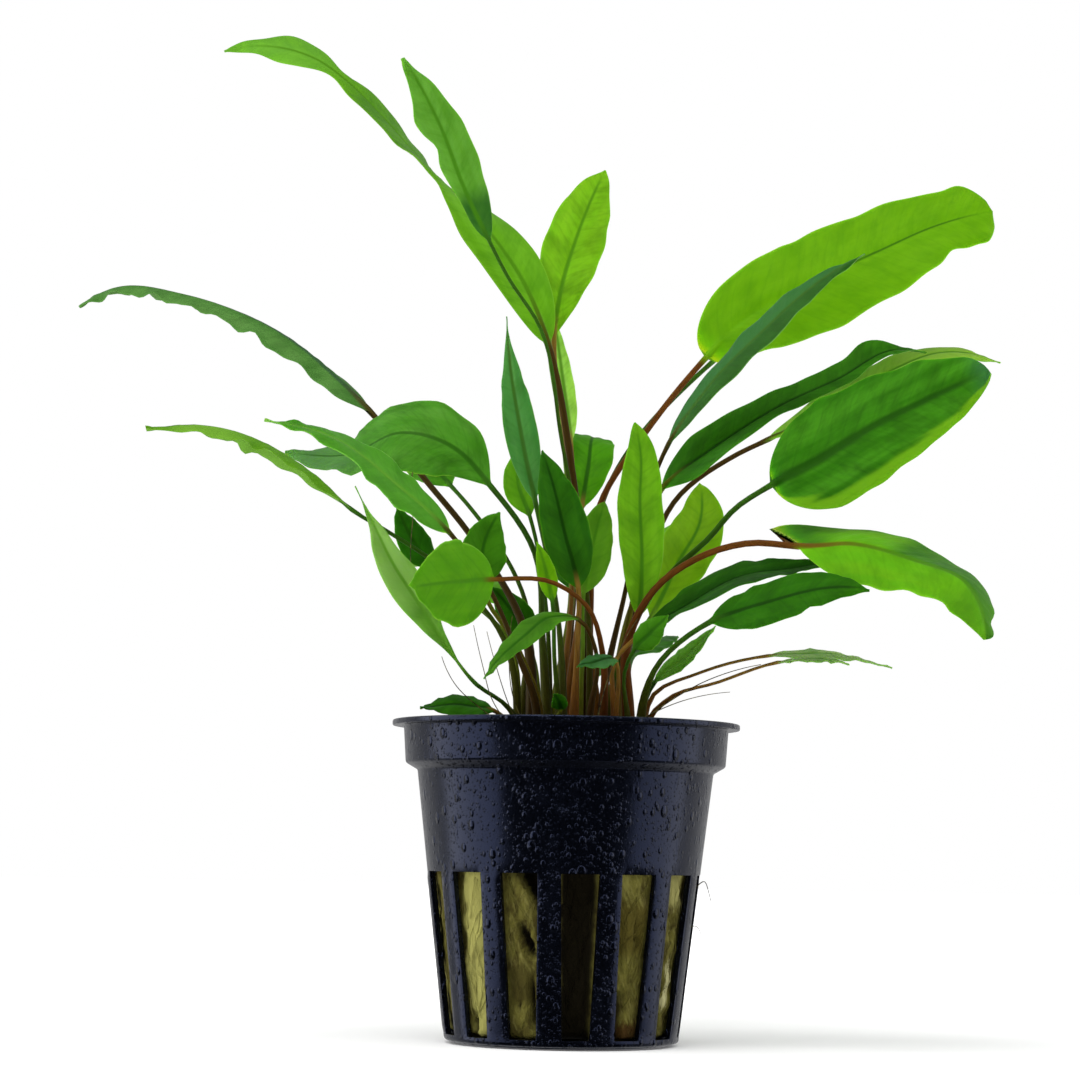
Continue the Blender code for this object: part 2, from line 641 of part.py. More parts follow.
class SmoothPath:
    """A smooth curve through points, read by the distance along its straight runs."""

    def __init__(self, points):
        self.points = np.array(points, float)
        runs = np.linalg.norm(np.diff(self.points, axis=0), axis=1)
        self.reach = np.concatenate([[0.0], np.cumsum(runs)])
        slopes = np.diff(self.points, axis=0) / runs[:, None]
        share = (runs[:-1] / (runs[:-1] + runs[1:]))[:, None]
        inner = slopes[:-1] * (1 - share) + slopes[1:] * share
        first = 2 * slopes[0] - inner[0]
        last = 2 * slopes[-1] - inner[-1]
        self.slopes = np.vstack([first, inner, last])

    def at(self, distance):
        """The point and the unit direction at a distance from the start."""
        run = int(np.clip(np.searchsorted(self.reach, distance) - 1, 0, len(self.reach) - 2))
        length = self.reach[run + 1] - self.reach[run]
        t = (distance - self.reach[run]) / length
        start, end = self.points[run], self.points[run + 1]
        leave, arrive = self.slopes[run] * length, self.slopes[run + 1] * length
        point = (
            (2 * t**3 - 3 * t**2 + 1) * start
            + (t**3 - 2 * t**2 + t) * leave
            + (3 * t**2 - 2 * t**3) * end
            + (t**3 - t**2) * arrive
        )
        direction = (
            (6 * t**2 - 6 * t) * (start - end)
            + (3 * t**2 - 4 * t + 1) * leave
            + (3 * t**2 - 2 * t) * arrive
        )
        return point, unit(direction)


def blade_share(leaf, t):
    """The blade's width at a place from neck (0) to tip (1), as a share of its greatest width."""
    if t < leaf.widest:
        return (1 - (1 - t / leaf.widest) ** 2) ** leaf.base
    return (1 - ((t - leaf.widest) / (1 - leaf.widest)) ** 2) ** leaf.point


def facing(leaf, t):
    """The direction that the upper side looks in at a place along the blade."""
    faces = np.array(leaf.faces, float)
    stations = np.linspace(0, 1, len(faces))
    return np.array([np.interp(t, stations, faces[:, axis]) for axis in range(3)])


def blade_stations(leaf):
    """Places along the blade from neck (0) to tip (1), closer together towards both ends."""
    count = max(FEWEST_STATIONS, len(leaf.blade) + EXTRA_STATIONS)
    return (1 - np.cos(np.linspace(0, math.pi, count))) / 2


def leaf_sections(leaf):
    """The leaf's cross-sections from tip to foot, each as a centre, two directions, two radii and a fold.

    The petiole's sections keep the turn that the blade has at its neck.
    """
    foot = (*leaf.foot, crown_top(*leaf.foot) + GAP)
    rise = (*leaf.foot, foot[2] + FOOT_RISE)
    path = SmoothPath([foot, rise, *leaf.stem, *leaf.blade])
    neck = path.reach[len(leaf.stem) + 2]
    tip = path.reach[-1]
    radius = leaf.stalk / 2
    steps = len(leaf.stem) + 2
    places = [(neck * index / steps, None) for index in range(steps)]
    places += [(neck + (tip - neck) * t, t) for t in blade_stations(leaf)]
    sections = []
    for distance, t in reversed(places):
        centre, along = path.at(distance)
        if t is None:
            across = unit(across - along * (across @ along))
            round_radius = radius * (1 - (1 - NECK_RADIUS_SHARE) * distance / neck)
            half_width, half_thickness, fold = round_radius, round_radius, 0.0
        else:
            across = unit(np.cross(along, facing(leaf, t)))
            edge = radius * NECK_RADIUS_SHARE * (1 - t) + TIP_RADIUS * t
            half_width = max(leaf.width / 2 * blade_share(leaf, t), edge)
            thick = radius * NECK_RADIUS_SHARE * (1 - t) ** 3
            half_thickness = max(thick, BLADE_HALF_THICKNESS * (1 - 0.5 * t))
            fold = math.radians(leaf.fold) * min(t / FOLD_START, 1)
        sections.append((centre, across, np.cross(across, along), half_width, half_thickness, fold))
    return sections


def build_leaf(leaf):
    """One closed tube that is round along the petiole and flattens into the blade.

    Both its sides are split along the same diagonals, so that they can't cross where the blade twists.
    """
    sections = leaf_sections(leaf)
    bm = bmesh.new()
    bmesh.ops.create_grid(bm, x_segments=len(sections) - 1, y_segments=SECTION_POINTS, size=0.5)
    upper = [face for face in bm.faces if face.calc_center_median().y < 0]
    lower = [face for face in bm.faces if face.calc_center_median().y > 0]
    bmesh.ops.triangulate(bm, faces=upper, quad_method="FIXED")
    bmesh.ops.triangulate(bm, faces=lower, quad_method="ALTERNATE")
    for vert in bm.verts:
        section = sections[round((vert.co.x + 0.5) * (len(sections) - 1))]
        centre, across, up, half_width, half_thickness, fold = section
        turn = 2 * math.pi * (vert.co.y + 0.5)
        side = half_width * math.cos(turn)
        lift = half_thickness * math.sin(turn)
        folded = across * side * math.cos(fold) + up * (lift + abs(side) * math.sin(fold))
        vert.co = (centre + folded) * MM
    bmesh.ops.remove_doubles(bm, verts=bm.verts, dist=MERGE * MM)
    ends = [edge for edge in bm.edges if edge.is_boundary]
    bmesh.ops.holes_fill(bm, edges=ends, sides=0)
    add_object(f"leaf_{leaf.name}", bm, make_material(f"leaf_{leaf.name}", leaf.colour, 0.45), 75)


def main():
    """Builds the pot, the wool, the crown and then each leaf."""
    clear_scene()
    build_pot()
    build_rock_wool()
    build_crown()
    for leaf in LEAVES:
        build_leaf(leaf)


main()
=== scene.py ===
"""A potted cryptocoryne: an aquarium plant in a slotted plastic net pot filled with rock wool.

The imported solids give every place. This script builds the detailed pieces that stand for them, gives each one
its finish, and sets up the studio. Sizes in the classes are millimetres unless a comment says otherwise.
"""

import logging
import math
from collections.abc import Callable
from dataclasses import dataclass, field, replace
from enum import Enum

import bmesh
import bpy
import numpy as np
from mathutils import Matrix, Vector, noise


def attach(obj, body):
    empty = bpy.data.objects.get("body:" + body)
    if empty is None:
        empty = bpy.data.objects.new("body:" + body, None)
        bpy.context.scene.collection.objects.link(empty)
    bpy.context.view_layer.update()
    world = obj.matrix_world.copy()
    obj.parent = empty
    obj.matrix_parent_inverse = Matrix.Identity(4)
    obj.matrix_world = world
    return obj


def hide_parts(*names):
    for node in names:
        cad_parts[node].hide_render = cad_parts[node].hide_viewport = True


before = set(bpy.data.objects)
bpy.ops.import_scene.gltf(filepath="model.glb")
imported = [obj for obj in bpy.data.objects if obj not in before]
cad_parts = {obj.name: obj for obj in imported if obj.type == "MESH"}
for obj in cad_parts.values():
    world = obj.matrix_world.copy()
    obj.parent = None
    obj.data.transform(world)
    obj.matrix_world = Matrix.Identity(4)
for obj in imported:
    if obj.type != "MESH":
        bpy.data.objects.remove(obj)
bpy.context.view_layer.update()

log = logging.getLogger("cryptocoryne")

MM = 0.001
BODY = "root"
MERGE = 0.001  # points nearer than this are one
UP = (0.0, 0.0, 1.0)
WHITE = (1.0, 1.0, 1.0)
VEIN_SLANT = 0.85  # how far a vein climbs towards the leaf's tip, to each millimetre from the midrib
FIRST_SLOT = 7.0  # where the pot's first slot lies, in degrees right of the front

Colour = tuple[float, float, float]
Point = tuple[float, float, float]


def tone(red: int, green: int, blue: int) -> Colour:
    """A linear colour from screen values of 0 to 255."""
    shares = (red / 255, green / 255, blue / 255)
    return tuple(share / 12.92 if share <= 0.04045 else ((share + 0.055) / 1.055) ** 2.4 for share in shares)


class Value:
    """A socket of a shader's maths. Arithmetic on it adds Math nodes."""

    def __init__(self, kit: "NodeKit", link: bpy.types.NodeSocket) -> None:
        """Wraps an output socket.

        Args:
            link: the output socket.
        """
        self.kit = kit
        self.link = link

    def math(self, operation: str, *others: "Value | float") -> "Value":
        """One Math node with this value as its first input.

        Args:
            operation: the Math node's operation.
            others: its further inputs.

        Returns:
            The node's result.
        """
        return self.kit.add("ShaderNodeMath", {"operation": operation}, dict(enumerate((self, *others))))

    def __add__(self, other: "Value | float") -> "Value":
        """Sum."""
        return self.math("ADD", other)

    __radd__ = __add__

    def __sub__(self, other: "Value | float") -> "Value":
        """Difference."""
        return self.math("SUBTRACT", other)

    def __rsub__(self, other: float) -> "Value":
        """Difference, from a number."""
        return (self * -1) + other

    def __mul__(self, other: "Value | float") -> "Value":
        """Product."""
        return self.math("MULTIPLY", other)

    __rmul__ = __mul__

    def __truediv__(self, other: "Value | float") -> "Value":
        """Quotient."""
        return self.math("DIVIDE", other)

    def __pow__(self, other: float) -> "Value":
        """Power."""
        return self.math("POWER", other)

    def __abs__(self) -> "Value":
        """Size without its sign."""
        return self.math("ABSOLUTE")

    def ramp(self, low: float, high: float) -> "Value":
        """A soft step.

        Args:
            low: the value where the step starts, at 0.
            high: the value where it ends, at 1. It may be below low, for a falling step.

        Returns:
            The step, between 0 and 1.
        """
        sockets = {"Value": self, "From Min": low, "From Max": high}
        return self.kit.add("ShaderNodeMapRange", {"interpolation_type": "SMOOTHSTEP"}, sockets)

    def wave(self) -> "Value":
        """A triangle wave of period 1 that is 0 at whole numbers and 1 halfway between."""
        return self.math("PINGPONG", 0.5) * 2


class NodeKit:
    """Makes the nodes of one material or of the world."""

    def __init__(self, tree: bpy.types.NodeTree) -> None:
        """Takes over a node tree and empties it.

        Args:
            tree: the tree of a material or world.
        """
        self.tree = tree
        tree.nodes.clear()

    def add(self, kind: str, settings: dict | None = None, sockets: dict | None = None,
            out: int | str = 0) -> Value:
        """Adds one node.

        Args:
            kind: the node's type.
            settings: its settings, set first.
            sockets: values or links for its inputs, by name or number.
            out: the output that is returned.

        Returns:
            The chosen output.
        """
        node = self.tree.nodes.new(kind)
        for name, value in (settings or {}).items():
            setattr(node, name, value)
        for name, value in (sockets or {}).items():
            target = node.inputs[name]
            if isinstance(value, Value):
                self.tree.links.new(value.link, target)
            elif isinstance(value, tuple) and target.type == "RGBA":
                target.default_value = (*value[:3], 1.0)
            else:
                target.default_value = value
        return Value(self, node.outputs[out] if node.outputs else None)

    def mix(self, share: "Value | float", first: "Value | Colour", second: "Value | Colour") -> Value:
        """One colour laid over another.

        Args:
            share: how much of the second colour shows.
            first: the colour below.
            second: the colour on top.

        Returns:
            The mixed colour.
        """
        return self.add("ShaderNodeMix", {"data_type": "RGBA"}, {0: share, 6: first, 7: second}, 2)

    def vector(self, x: "Value | float", y: "Value | float", z: "Value | float" = 0.0) -> Value:
        """A vector from three values."""
        return self.add("ShaderNodeCombineXYZ", {}, {0: x, 1: y, 2: z})

    def parts(self, vector: Value) -> tuple[Value, Value, Value]:
        """The three values of a vector."""
        node = self.add("ShaderNodeSeparateXYZ", {}, {0: vector}).link.node
        return tuple(Value(self, output) for output in node.outputs)

    def attribute(self, name: str) -> tuple[Value, Value, Value]:
        """The three values of a piece's own point attribute."""
        return self.parts(self.add("ShaderNodeAttribute", {"attribute_name": name}, {}, "Vector"))

    def millimetres(self) -> Value:
        """The place on the piece, in millimetres."""
        place = self.add("ShaderNodeTexCoord", {}, {}, "Object")
        return self.add("ShaderNodeVectorMath", {"operation": "SCALE"}, {"Vector": place, "Scale": 1 / MM})

    def noise(self, vector: Value, scale: float, detail: float = 2.0, roughness: float = 0.5) -> Value:
        """Soft noise.

        Args:
            vector: where it is read.
            scale: lumps to the unit of the vector, roughly.
            detail: how many finer rounds it has.
            roughness: how strong the finer rounds are.

        Returns:
            The noise, around 0.5.
        """
        sockets = {"Vector": vector, "Scale": scale, "Detail": detail, "Roughness": roughness}
        return self.add("ShaderNodeTexNoise", {}, sockets)

    def bump(self, height: Value, depth: float, strength: float = 1.0) -> Value:
        """A normal tilted by a height.

        Args:
            height: the height, from 0 to 1.
            depth: the relief's depth in millimetres.
            strength: how much of it shows.

        Returns:
            The normal.
        """
        sockets = {"Height": height, "Distance": depth * MM, "Strength": strength}
        return self.add("ShaderNodeBump", {}, sockets)

    def finish(self, surface: Value) -> None:
        """Joins a shader to the output."""
        target = "World" if isinstance(self.tree.id_data, bpy.types.World) else "Material"
        self.add(f"ShaderNodeOutput{target}", {}, {"Surface": surface})

    def principled(self, sockets: dict) -> None:
        """Joins a Principled shader with these inputs to the output."""
        self.finish(self.add("ShaderNodeBsdfPrincipled", {}, sockets))


def new_material(name: str) -> tuple[bpy.types.Material, NodeKit]:
    """Args:
        name: the material's name.

    Returns:
        The material and its kit.
    """
    material = bpy.data.materials.new(name)
    material.use_nodes = True
    return material, NodeKit(material.node_tree)


@dataclass(frozen=True)
class LeafPlace:
    """Where a shaded point lies on its leaf, from the leaf's own point attributes.

    side is millimetres from the midrib, along is millimetres from the foot, and t runs from -1 at the foot
    over 0 at the neck to 1 at the tip. edge is 0 at the midrib and 1 at the margin, upper is 1 on the upper
    side, and half is edge with the sign of its side.
    """

    side: Value
    along: Value
    t: Value
    edge: Value
    upper: Value
    half: Value

    @classmethod
    def read(cls, kit: NodeKit) -> "LeafPlace":
        """Reads the attributes with a material's kit."""
        return cls(*kit.attribute("place"), *kit.attribute("skin"))

    def vein(self) -> Value:
        """How far from the foot the vein through this point leaves the midrib."""
        return self.along - abs(self.side) * VEIN_SLANT


class StalkTone(Enum):
    """The petioles' colours, near the blade and at the foot."""

    RED_BROWN = (tone(98, 56, 18), tone(84, 42, 14))
    TAN = (tone(122, 92, 38), tone(112, 70, 28))
    OLIVE = (tone(88, 92, 20), tone(88, 72, 18))
    GREEN = (tone(84, 122, 30), tone(92, 92, 24))
    DARK_GREEN = (tone(44, 88, 18), tone(58, 56, 14))
    DARK = (tone(60, 42, 12), tone(50, 30, 8))


@dataclass(frozen=True)
class LeafFinish:
    """The colours and surface of a leaf. body, light and dark make up the blade's upper side.

    bands are soft lengthwise stripes, blotches are darker clouds, and veins are the thin lines that leave the
    midrib, pitch millimetres apart. The midrib shows from rib_start on, and the petiole's colour runs along
    it as far as rib_run. The margin's colour starts at rim, on one half only where rim_half is 1 or -1. Each
    zone is a stretch of the blade from one t to another, a half of it (0 for both), a colour and how strongly
    it shows.
    """

    body: Colour
    light: Colour
    dark: Colour
    rib: Colour
    margin: Colour
    under: Colour
    stalk: StalkTone = StalkTone.RED_BROWN
    bands: float = 0.45
    blotches: float = 0.4
    veins: float = 0.14
    pitch: float = 3.0
    rib_width: float = 0.32
    sheen: float = 0.06
    roughness: float = 0.47
    glow: float = 0.4
    rib_start: float = -0.2
    rib_run: float = 0.14
    rim: float = 0.93
    rim_half: int = 0
    # On some leaves a zone paints shade or a sheen instead of the leaf's own colour; the leaf table says which.
    zones: tuple[tuple[float, float, int, Colour, float], ...] = ()

    ZONE_BLUR = 0.07  # half of a zone's soft end, in t
    HALF_BLUR = 0.14  # half of the soft line between the blade's halves, as a share of the half width
    FURROW_BROWN = tone(34, 22, 8)

    def blade_colour(self, kit: NodeKit, spot: LeafPlace) -> Value:
        """The blade's colour, from its body colour out to its margin.

        Args:
            spot: the place on the leaf.

        Returns:
            The colour.
        """
        side, along, t = spot.side, spot.along, spot.t
        slant = spot.vein()
        band = kit.noise(kit.vector(side, along * 0.06), 0.45, 2.0).ramp(0.32, 0.7)
        streak = kit.noise(kit.vector(side, along * 0.14), 1.8, 2.0).ramp(0.3, 0.75)
        cloud = kit.noise(kit.vector(slant * 0.26, side * 0.2, spot.upper), 1.0, 3.0, 0.6).ramp(0.36, 0.72)
        fleck = kit.noise(kit.vector(slant * 1.2, side * 0.7, spot.upper), 1.0, 3.0, 0.6).ramp(0.42, 0.78)
        colour = kit.mix(band * self.bands + streak * (self.bands * 0.25), self.body, self.light)
        colour = kit.mix(cloud * self.blotches + fleck * (self.blotches * 0.4), colour, self.dark)
        wobble = kit.noise(kit.vector(slant, side), 0.2, 1.0) * 0.8
        vein = (slant / self.pitch + wobble).wave().ramp(0.24, 0.0) * spot.edge.ramp(1.0, 0.7)
        colour = kit.mix(vein * self.veins, colour, self.dark)
        for low, high, half, tint, strength in self.zones:
            begins = t.ramp(low - self.ZONE_BLUR, low + self.ZONE_BLUR)
            mask = begins * t.ramp(high + self.ZONE_BLUR, high - self.ZONE_BLUR)
            if half:
                mask = mask * (spot.half * half).ramp(-self.HALF_BLUR, self.HALF_BLUR)
            colour = kit.mix(mask * (strength * (0.75 + 0.25 * cloud)), colour, tint)
        reach = spot.edge
        if self.rim_half:
            reach = spot.half * self.rim_half + (band * 0.12 - 0.06)
        rim = reach.ramp(self.rim, min(1.0, self.rim + 0.16))
        colour = kit.mix(rim * (0.5 + 0.25 * abs(self.rim_half)), colour, self.margin)
        colour = kit.mix((1 - spot.upper) * 0.75, colour, self.under)
        rib_colour = kit.mix(t.ramp(0.0, self.rib_run), self.stalk.value[0], self.rib)
        rib = (abs(side) + t * self.rib_width * 0.7).ramp(self.rib_width * 1.8, self.rib_width * 0.7)
        shown = t.ramp(1.0, 0.85) * t.ramp(self.rib_start - 0.1, self.rib_start + 0.1)
        return kit.mix(rib * shown * 0.9, colour, rib_colour)

    def material(self, name: str) -> bpy.types.Material:
        """The finish as a material.

        Args:
            name: the material's name.

        Returns:
            The material.
        """
        material, kit = new_material(name)
        near_blade, near_crown = self.stalk.value
        spot = LeafPlace.read(kit)
        place = kit.millimetres()
        grain = kit.noise(kit.vector(spot.side * 3.0, spot.along * 0.25, spot.upper), 1.6, 3.0).ramp(0.3, 0.7)
        stalk = kit.mix(spot.t.ramp(-1.0, -0.15), near_crown, near_blade)
        stalk = kit.mix(grain * 0.4, stalk, self.FURROW_BROWN)
        on_blade = spot.t.ramp(-0.03, 0.012)
        colour = kit.mix(on_blade, stalk, self.blade_colour(kit, spot))
        furrow = (spot.vein() / self.pitch).wave().ramp(0.0, 0.35)
        pores = kit.noise(place, 2.2, 2.0, 0.55)
        crinkle = kit.noise(kit.vector(spot.side, spot.along * 0.6, spot.upper), 0.9, 3.0, 0.6)
        height = furrow * 0.25 + pores * 0.15 + grain * 0.1 + crinkle * 0.9
        kit.principled({
            "Base Color": colour,
            "Roughness": kit.noise(place, 0.8, 3.0) * 0.2 + (self.roughness - 0.1),
            "Specular IOR Level": self.sheen,
            "Specular Tint": (0.85, 1.0, 0.4),
            "Subsurface Weight": self.glow,
            "Subsurface Radius": (0.6, 1.0, 0.15),
            "Subsurface Scale": 0.6 * MM,
            "Normal": kit.bump(height, 0.1, 0.5),
        })
        return material


class Look(Enum):
    """The leaves' finishes, before a leaf's own tint."""

    BRIGHT = LeafFinish(
        body=tone(92, 150, 6), light=tone(106, 162, 18), dark=tone(62, 120, 4),
        rib=tone(66, 118, 12), margin=tone(118, 174, 30), under=tone(112, 164, 44),
    )
    FRESH = LeafFinish(
        body=tone(82, 144, 14), light=tone(102, 162, 30), dark=tone(50, 106, 8),
        rib=tone(60, 114, 16), margin=tone(108, 160, 44), under=tone(104, 152, 54),
    )
    MID = LeafFinish(
        body=tone(54, 114, 12), light=tone(70, 132, 24), dark=tone(30, 82, 6),
        rib=tone(34, 84, 10), margin=tone(80, 136, 34), under=tone(84, 132, 46),
    )
    DARK = LeafFinish(
        body=tone(34, 90, 5), light=tone(50, 110, 12), dark=tone(14, 54, 3),
        rib=tone(14, 52, 4), margin=tone(58, 116, 18), under=tone(66, 116, 36), sheen=0.05,
    )
    BLUE = LeafFinish(
        body=tone(66, 124, 46), light=tone(86, 142, 70), dark=tone(38, 92, 28),
        rib=tone(46, 86, 22), margin=tone(88, 142, 62), under=tone(88, 130, 66), sheen=0.14,
    )
    WAXY = LeafFinish(
        body=tone(96, 158, 42), light=tone(118, 176, 76), dark=tone(62, 126, 24),
        rib=tone(84, 138, 34), margin=tone(126, 180, 78), under=tone(116, 162, 72), sheen=0.14,
    )


class SmoothPath:
    """A smooth curve through points, read by the distance along its straight runs."""

    def __init__(self, points: list[Point]) -> None:
        """Fits the curve.

        Args:
            points: the points that it passes.
        """
        self.points = np.array(points, float)
        runs = np.linalg.norm(np.diff(self.points, axis=0), axis=1)
        self.reach = np.concatenate([[0.0], np.cumsum(runs)])
        slopes = np.diff(self.points, axis=0) / runs[:, None]
        share = (runs[:-1] / (runs[:-1] + runs[1:]))[:, None]
        inner = slopes[:-1] * (1 - share) + slopes[1:] * share
        self.slopes = np.vstack([2 * slopes[0] - inner[0], inner, 2 * slopes[-1] - inner[-1]])

    def at(self, distance: float) -> tuple[np.ndarray, np.ndarray]:
        """Reads the curve.

        Args:
            distance: how far from the start, along the straight runs.

        Returns:
            The point and the unit direction there.
        """
        run = int(np.clip(np.searchsorted(self.reach, distance) - 1, 0, len(self.reach) - 2))
        length = self.reach[run + 1] - self.reach[run]
        t = (distance - self.reach[run]) / length
        start, end = self.points[run], self.points[run + 1]
        leave, arrive = self.slopes[run] * length, self.slopes[run + 1] * length
        point = (
            (2 * t**3 - 3 * t**2 + 1) * start
            + (t**3 - 2 * t**2 + t) * leave
            + (3 * t**2 - 2 * t**3) * end
            + (t**3 - t**2) * arrive
        )
        direction = (
            (6 * t**2 - 6 * t) * (start - end)
            + (3 * t**2 - 4 * t + 1) * leave
            + (3 * t**2 - 2 * t) * arrive
        )
        return point, direction / np.linalg.norm(direction)


def soft_step(values: np.ndarray, low: float, high: float) -> np.ndarray:
    """A smooth rise from 0 at low to 1 at high."""
    share = np.clip((values - low) / (high - low), 0.0, 1.0)
    return share * share * (3 - 2 * share)


def wrap(bm: bmesh.types.BMesh, points: np.ndarray, notes: dict[str, np.ndarray] | None = None) -> None:
    """Adds a closed tube to a mesh: a grid whose rows go once around.

    Args:
        bm: the mesh.
        points: places in millimetres, by station and then around. The last column is the first again.
        notes: values for the mesh's point attributes, laid out as the points are.
    """
    layers = {name: bm.verts.layers.float_vector[name] for name in notes or {}}
    stations, columns = points.shape[0] - 1, points.shape[1] - 1
    grid = bmesh.ops.create_grid(bm, x_segments=stations, y_segments=columns, size=0.5)["verts"]
    for vert in grid:
        station = round((vert.co.x + 0.5) * stations)
        column = round((vert.co.y + 0.5) * columns)
        vert.co = points[station, column] * MM
        for name, layer in layers.items():
            vert[layer] = notes[name][station, column]
    bmesh.ops.remove_doubles(bm, verts=grid, dist=MERGE * MM)
    rims = [edge for edge in bm.edges if edge.is_boundary]
    bmesh.ops.holes_fill(bm, edges=rims, sides=0)


def add_object(name: str, data: bpy.types.ID) -> bpy.types.Object:
    """Puts a mesh, a light or a camera into the scene.

    Args:
        name: the object's name.
        data: what it holds.

    Returns:
        The object.
    """
    thing = bpy.data.objects.new(name, data)
    bpy.context.scene.collection.objects.link(thing)
    return thing


def add_piece(name: str, bm: bmesh.types.BMesh, material: bpy.types.Material,
              sharp: float = 180.0) -> bpy.types.Object:
    """Turns a mesh into an object, smooth where its faces meet at less than an angle.

    Args:
        name: the piece's name.
        bm: the mesh, which is used up.
        material: its finish.
        sharp: the angle in degrees. At 180, everything is smooth.

    Returns:
        The object.
    """
    bmesh.ops.recalc_face_normals(bm, faces=bm.faces)
    mesh = bpy.data.meshes.new(name)
    bm.to_mesh(mesh)
    bm.free()
    mesh.shade_smooth()
    mesh.set_sharp_from_angle(angle=math.radians(sharp))
    mesh.materials.append(material)
    log.info("%s: %d faces", name, len(mesh.polygons))
    return add_object(name, mesh)


@dataclass(frozen=True)
class Leaf:
    """One leaf, petiole and blade together, in the part's own frame.

    foot is where the petiole leaves the crown, stem holds points that it passes, and blade holds the midrib's
    points from the neck to the tip. faces are the directions that the upper side looks in, evenly spaced from
    neck to tip. stalk is how thick the solid's petiole is. fold lifts the margins towards the upper side, in
    degrees. widest, point and base shape the outline as in the part's source. The rest is detail: ruffle is
    how far the margins wave, in waves along the blade, cup is how far they sink as a share of the half width,
    quilt is how deep the furrows between the veins are, and each lobe is a place from neck to tip, a side (1
    for the side to the right of someone who looks along the leaf at its upper face), a size and a spread.
    heel is a side on which the blade's base reaches back along the petiole, and by how far. A leaf without a
    stalk_tone draws one, and tint holds what differs from its look.
    """

    name: str
    slot: str
    look: Look
    foot: tuple[float, float]
    width: float
    stem: tuple[Point, ...]
    blade: tuple[Point, ...]
    faces: tuple[Point, ...]
    stalk: float = 1.3
    fold: float = 0.0
    widest: float = 0.38
    point: float = 1.0
    base: float = 0.7
    ruffle: float = 0.35
    waves: float = 4.0
    cup: float = 0.05
    quilt: float = 0.07
    lobes: tuple[tuple[float, int, float, float], ...] = ()
    heel: tuple[int, float] = (1, 0.0)
    stalk_tone: StalkTone | None = None
    tint: dict = field(default_factory=dict)

    SINK = 0.9  # how far the petiole starts below the solid's foot, inside the crown
    RISE = 1.2  # how far it rises before it bends
    NECK_SHARE = 0.86  # its thickness at the neck as a share of that at its foot, the sheath left out
    SLIMNESS = 0.72  # the petiole's thickness as a share of the solid's
    SHEATH = 0.75  # how much thicker its sheath makes it at its foot
    SHEATH_END = -0.5  # the t at which the sheath ends
    TIP_RADIUS = 0.12
    HALF_THICKNESS = 0.17  # the blade's, beside its midrib
    RIB_LEAST = 0.06  # what the midrib's radius never falls below
    GROOVE = 0.22  # how deep the midrib lies in the upper side
    GROOVE_WIDTH = 0.45
    FOLD_START = 0.17  # the place from neck to tip at which the fold is fully open
    CREASE = 0.3  # how round the fold is at the midrib, in square millimetres
    EDGE_WAVE = 0.01  # how far the outline waves, as a share of the width
    SWELL = 0.035  # how far the blade waves as a whole, as a share of the width
    BLADE_STEP = 0.75  # from one section to the next
    STALK_STEP = 2.0
    BROAD = 7.0  # a leaf wider than this is broad
    BROAD_COLUMNS = 44  # once around a broad leaf
    COLUMNS = 28  # once around any other

    def path(self, foot_height: float) -> SmoothPath:
        """The midrib's curve.

        Args:
            foot_height: the height of the petiole's foot.

        Returns:
            The curve from the foot to the tip.
        """
        foot = (*self.foot, foot_height)
        rise = (*self.foot, foot_height + self.RISE)
        return SmoothPath([foot, rise, *self.stem, *self.blade])

    def facing(self, t: float) -> np.ndarray:
        """The direction that the upper side looks in.

        Args:
            t: the place, from neck (0) to tip (1).

        Returns:
            The direction, not yet of unit length.
        """
        faces = np.array(self.faces, float)
        stations = np.linspace(0, 1, len(faces))
        nearby = np.clip(t + np.linspace(-0.05, 0.05, 5), 0, 1)
        return np.array([np.interp(nearby, stations, faces[:, axis]).mean() for axis in range(3)])

    def share(self, t: np.ndarray) -> np.ndarray:
        """The blade's width.

        Args:
            t: places, from neck (0) to tip (1).

        Returns:
            The width there as a share of the greatest width.
        """
        rising = (1 - (1 - np.clip(t / self.widest, 0, 1)) ** 2) ** self.base
        falling = (1 - np.clip((t - self.widest) / (1 - self.widest), 0, 1) ** 2) ** self.point
        return np.where(t < self.widest, rising, falling)

    def stations(self, path: SmoothPath) -> tuple[np.ndarray, np.ndarray]:
        """Where the sections lie.

        Args:
            path: the midrib's curve.

        Returns:
            Distances from the foot, and places t from foot (-1) over the neck (0) to the tip (1).
        """
        neck, tip = path.reach[len(self.stem) + 2], path.reach[-1]
        stalk = np.linspace(-1, 0, max(6, int(neck / self.STALK_STEP)), endpoint=False)
        even = np.linspace(0, 1, int(np.clip((tip - neck) / self.BLADE_STEP, 20, 110)))
        blade = 0.55 * even + 0.45 * (1 - np.cos(even * math.pi)) / 2
        t = np.concatenate([stalk, blade])
        distance = np.where(t < 0, neck * (1 + t), neck + (tip - neck) * np.clip(t, 0, 1))
        distance[0] = -self.SINK
        return distance, t

    def frames(self, path: SmoothPath, distance: np.ndarray, t: np.ndarray) -> tuple[np.ndarray, ...]:
        """The centre and the two directions of each section. The petiole keeps the turn of the blade's neck.

        Args:
            path: the midrib's curve.
            distance: distances from the foot.
            t: places from foot (-1) over the neck (0) to the tip (1).

        Returns:
            The centres, the directions across the leaf and the directions that its upper side looks in.
        """
        centres, sideways, upwards = [], [], []
        across = None
        for length, place in zip(reversed(distance), reversed(t)):
            centre, along = path.at(max(length, 0.0))
            centre = centre + along * min(length, 0.0)
            if place < 0:
                across = across - along * (across @ along)
            else:
                across = np.cross(along, self.facing(place))
            across = across / np.linalg.norm(across)
            centres.append(centre)
            sideways.append(across)
            upwards.append(np.cross(across, along))
        return tuple(np.array(part[::-1]) for part in (centres, sideways, upwards))

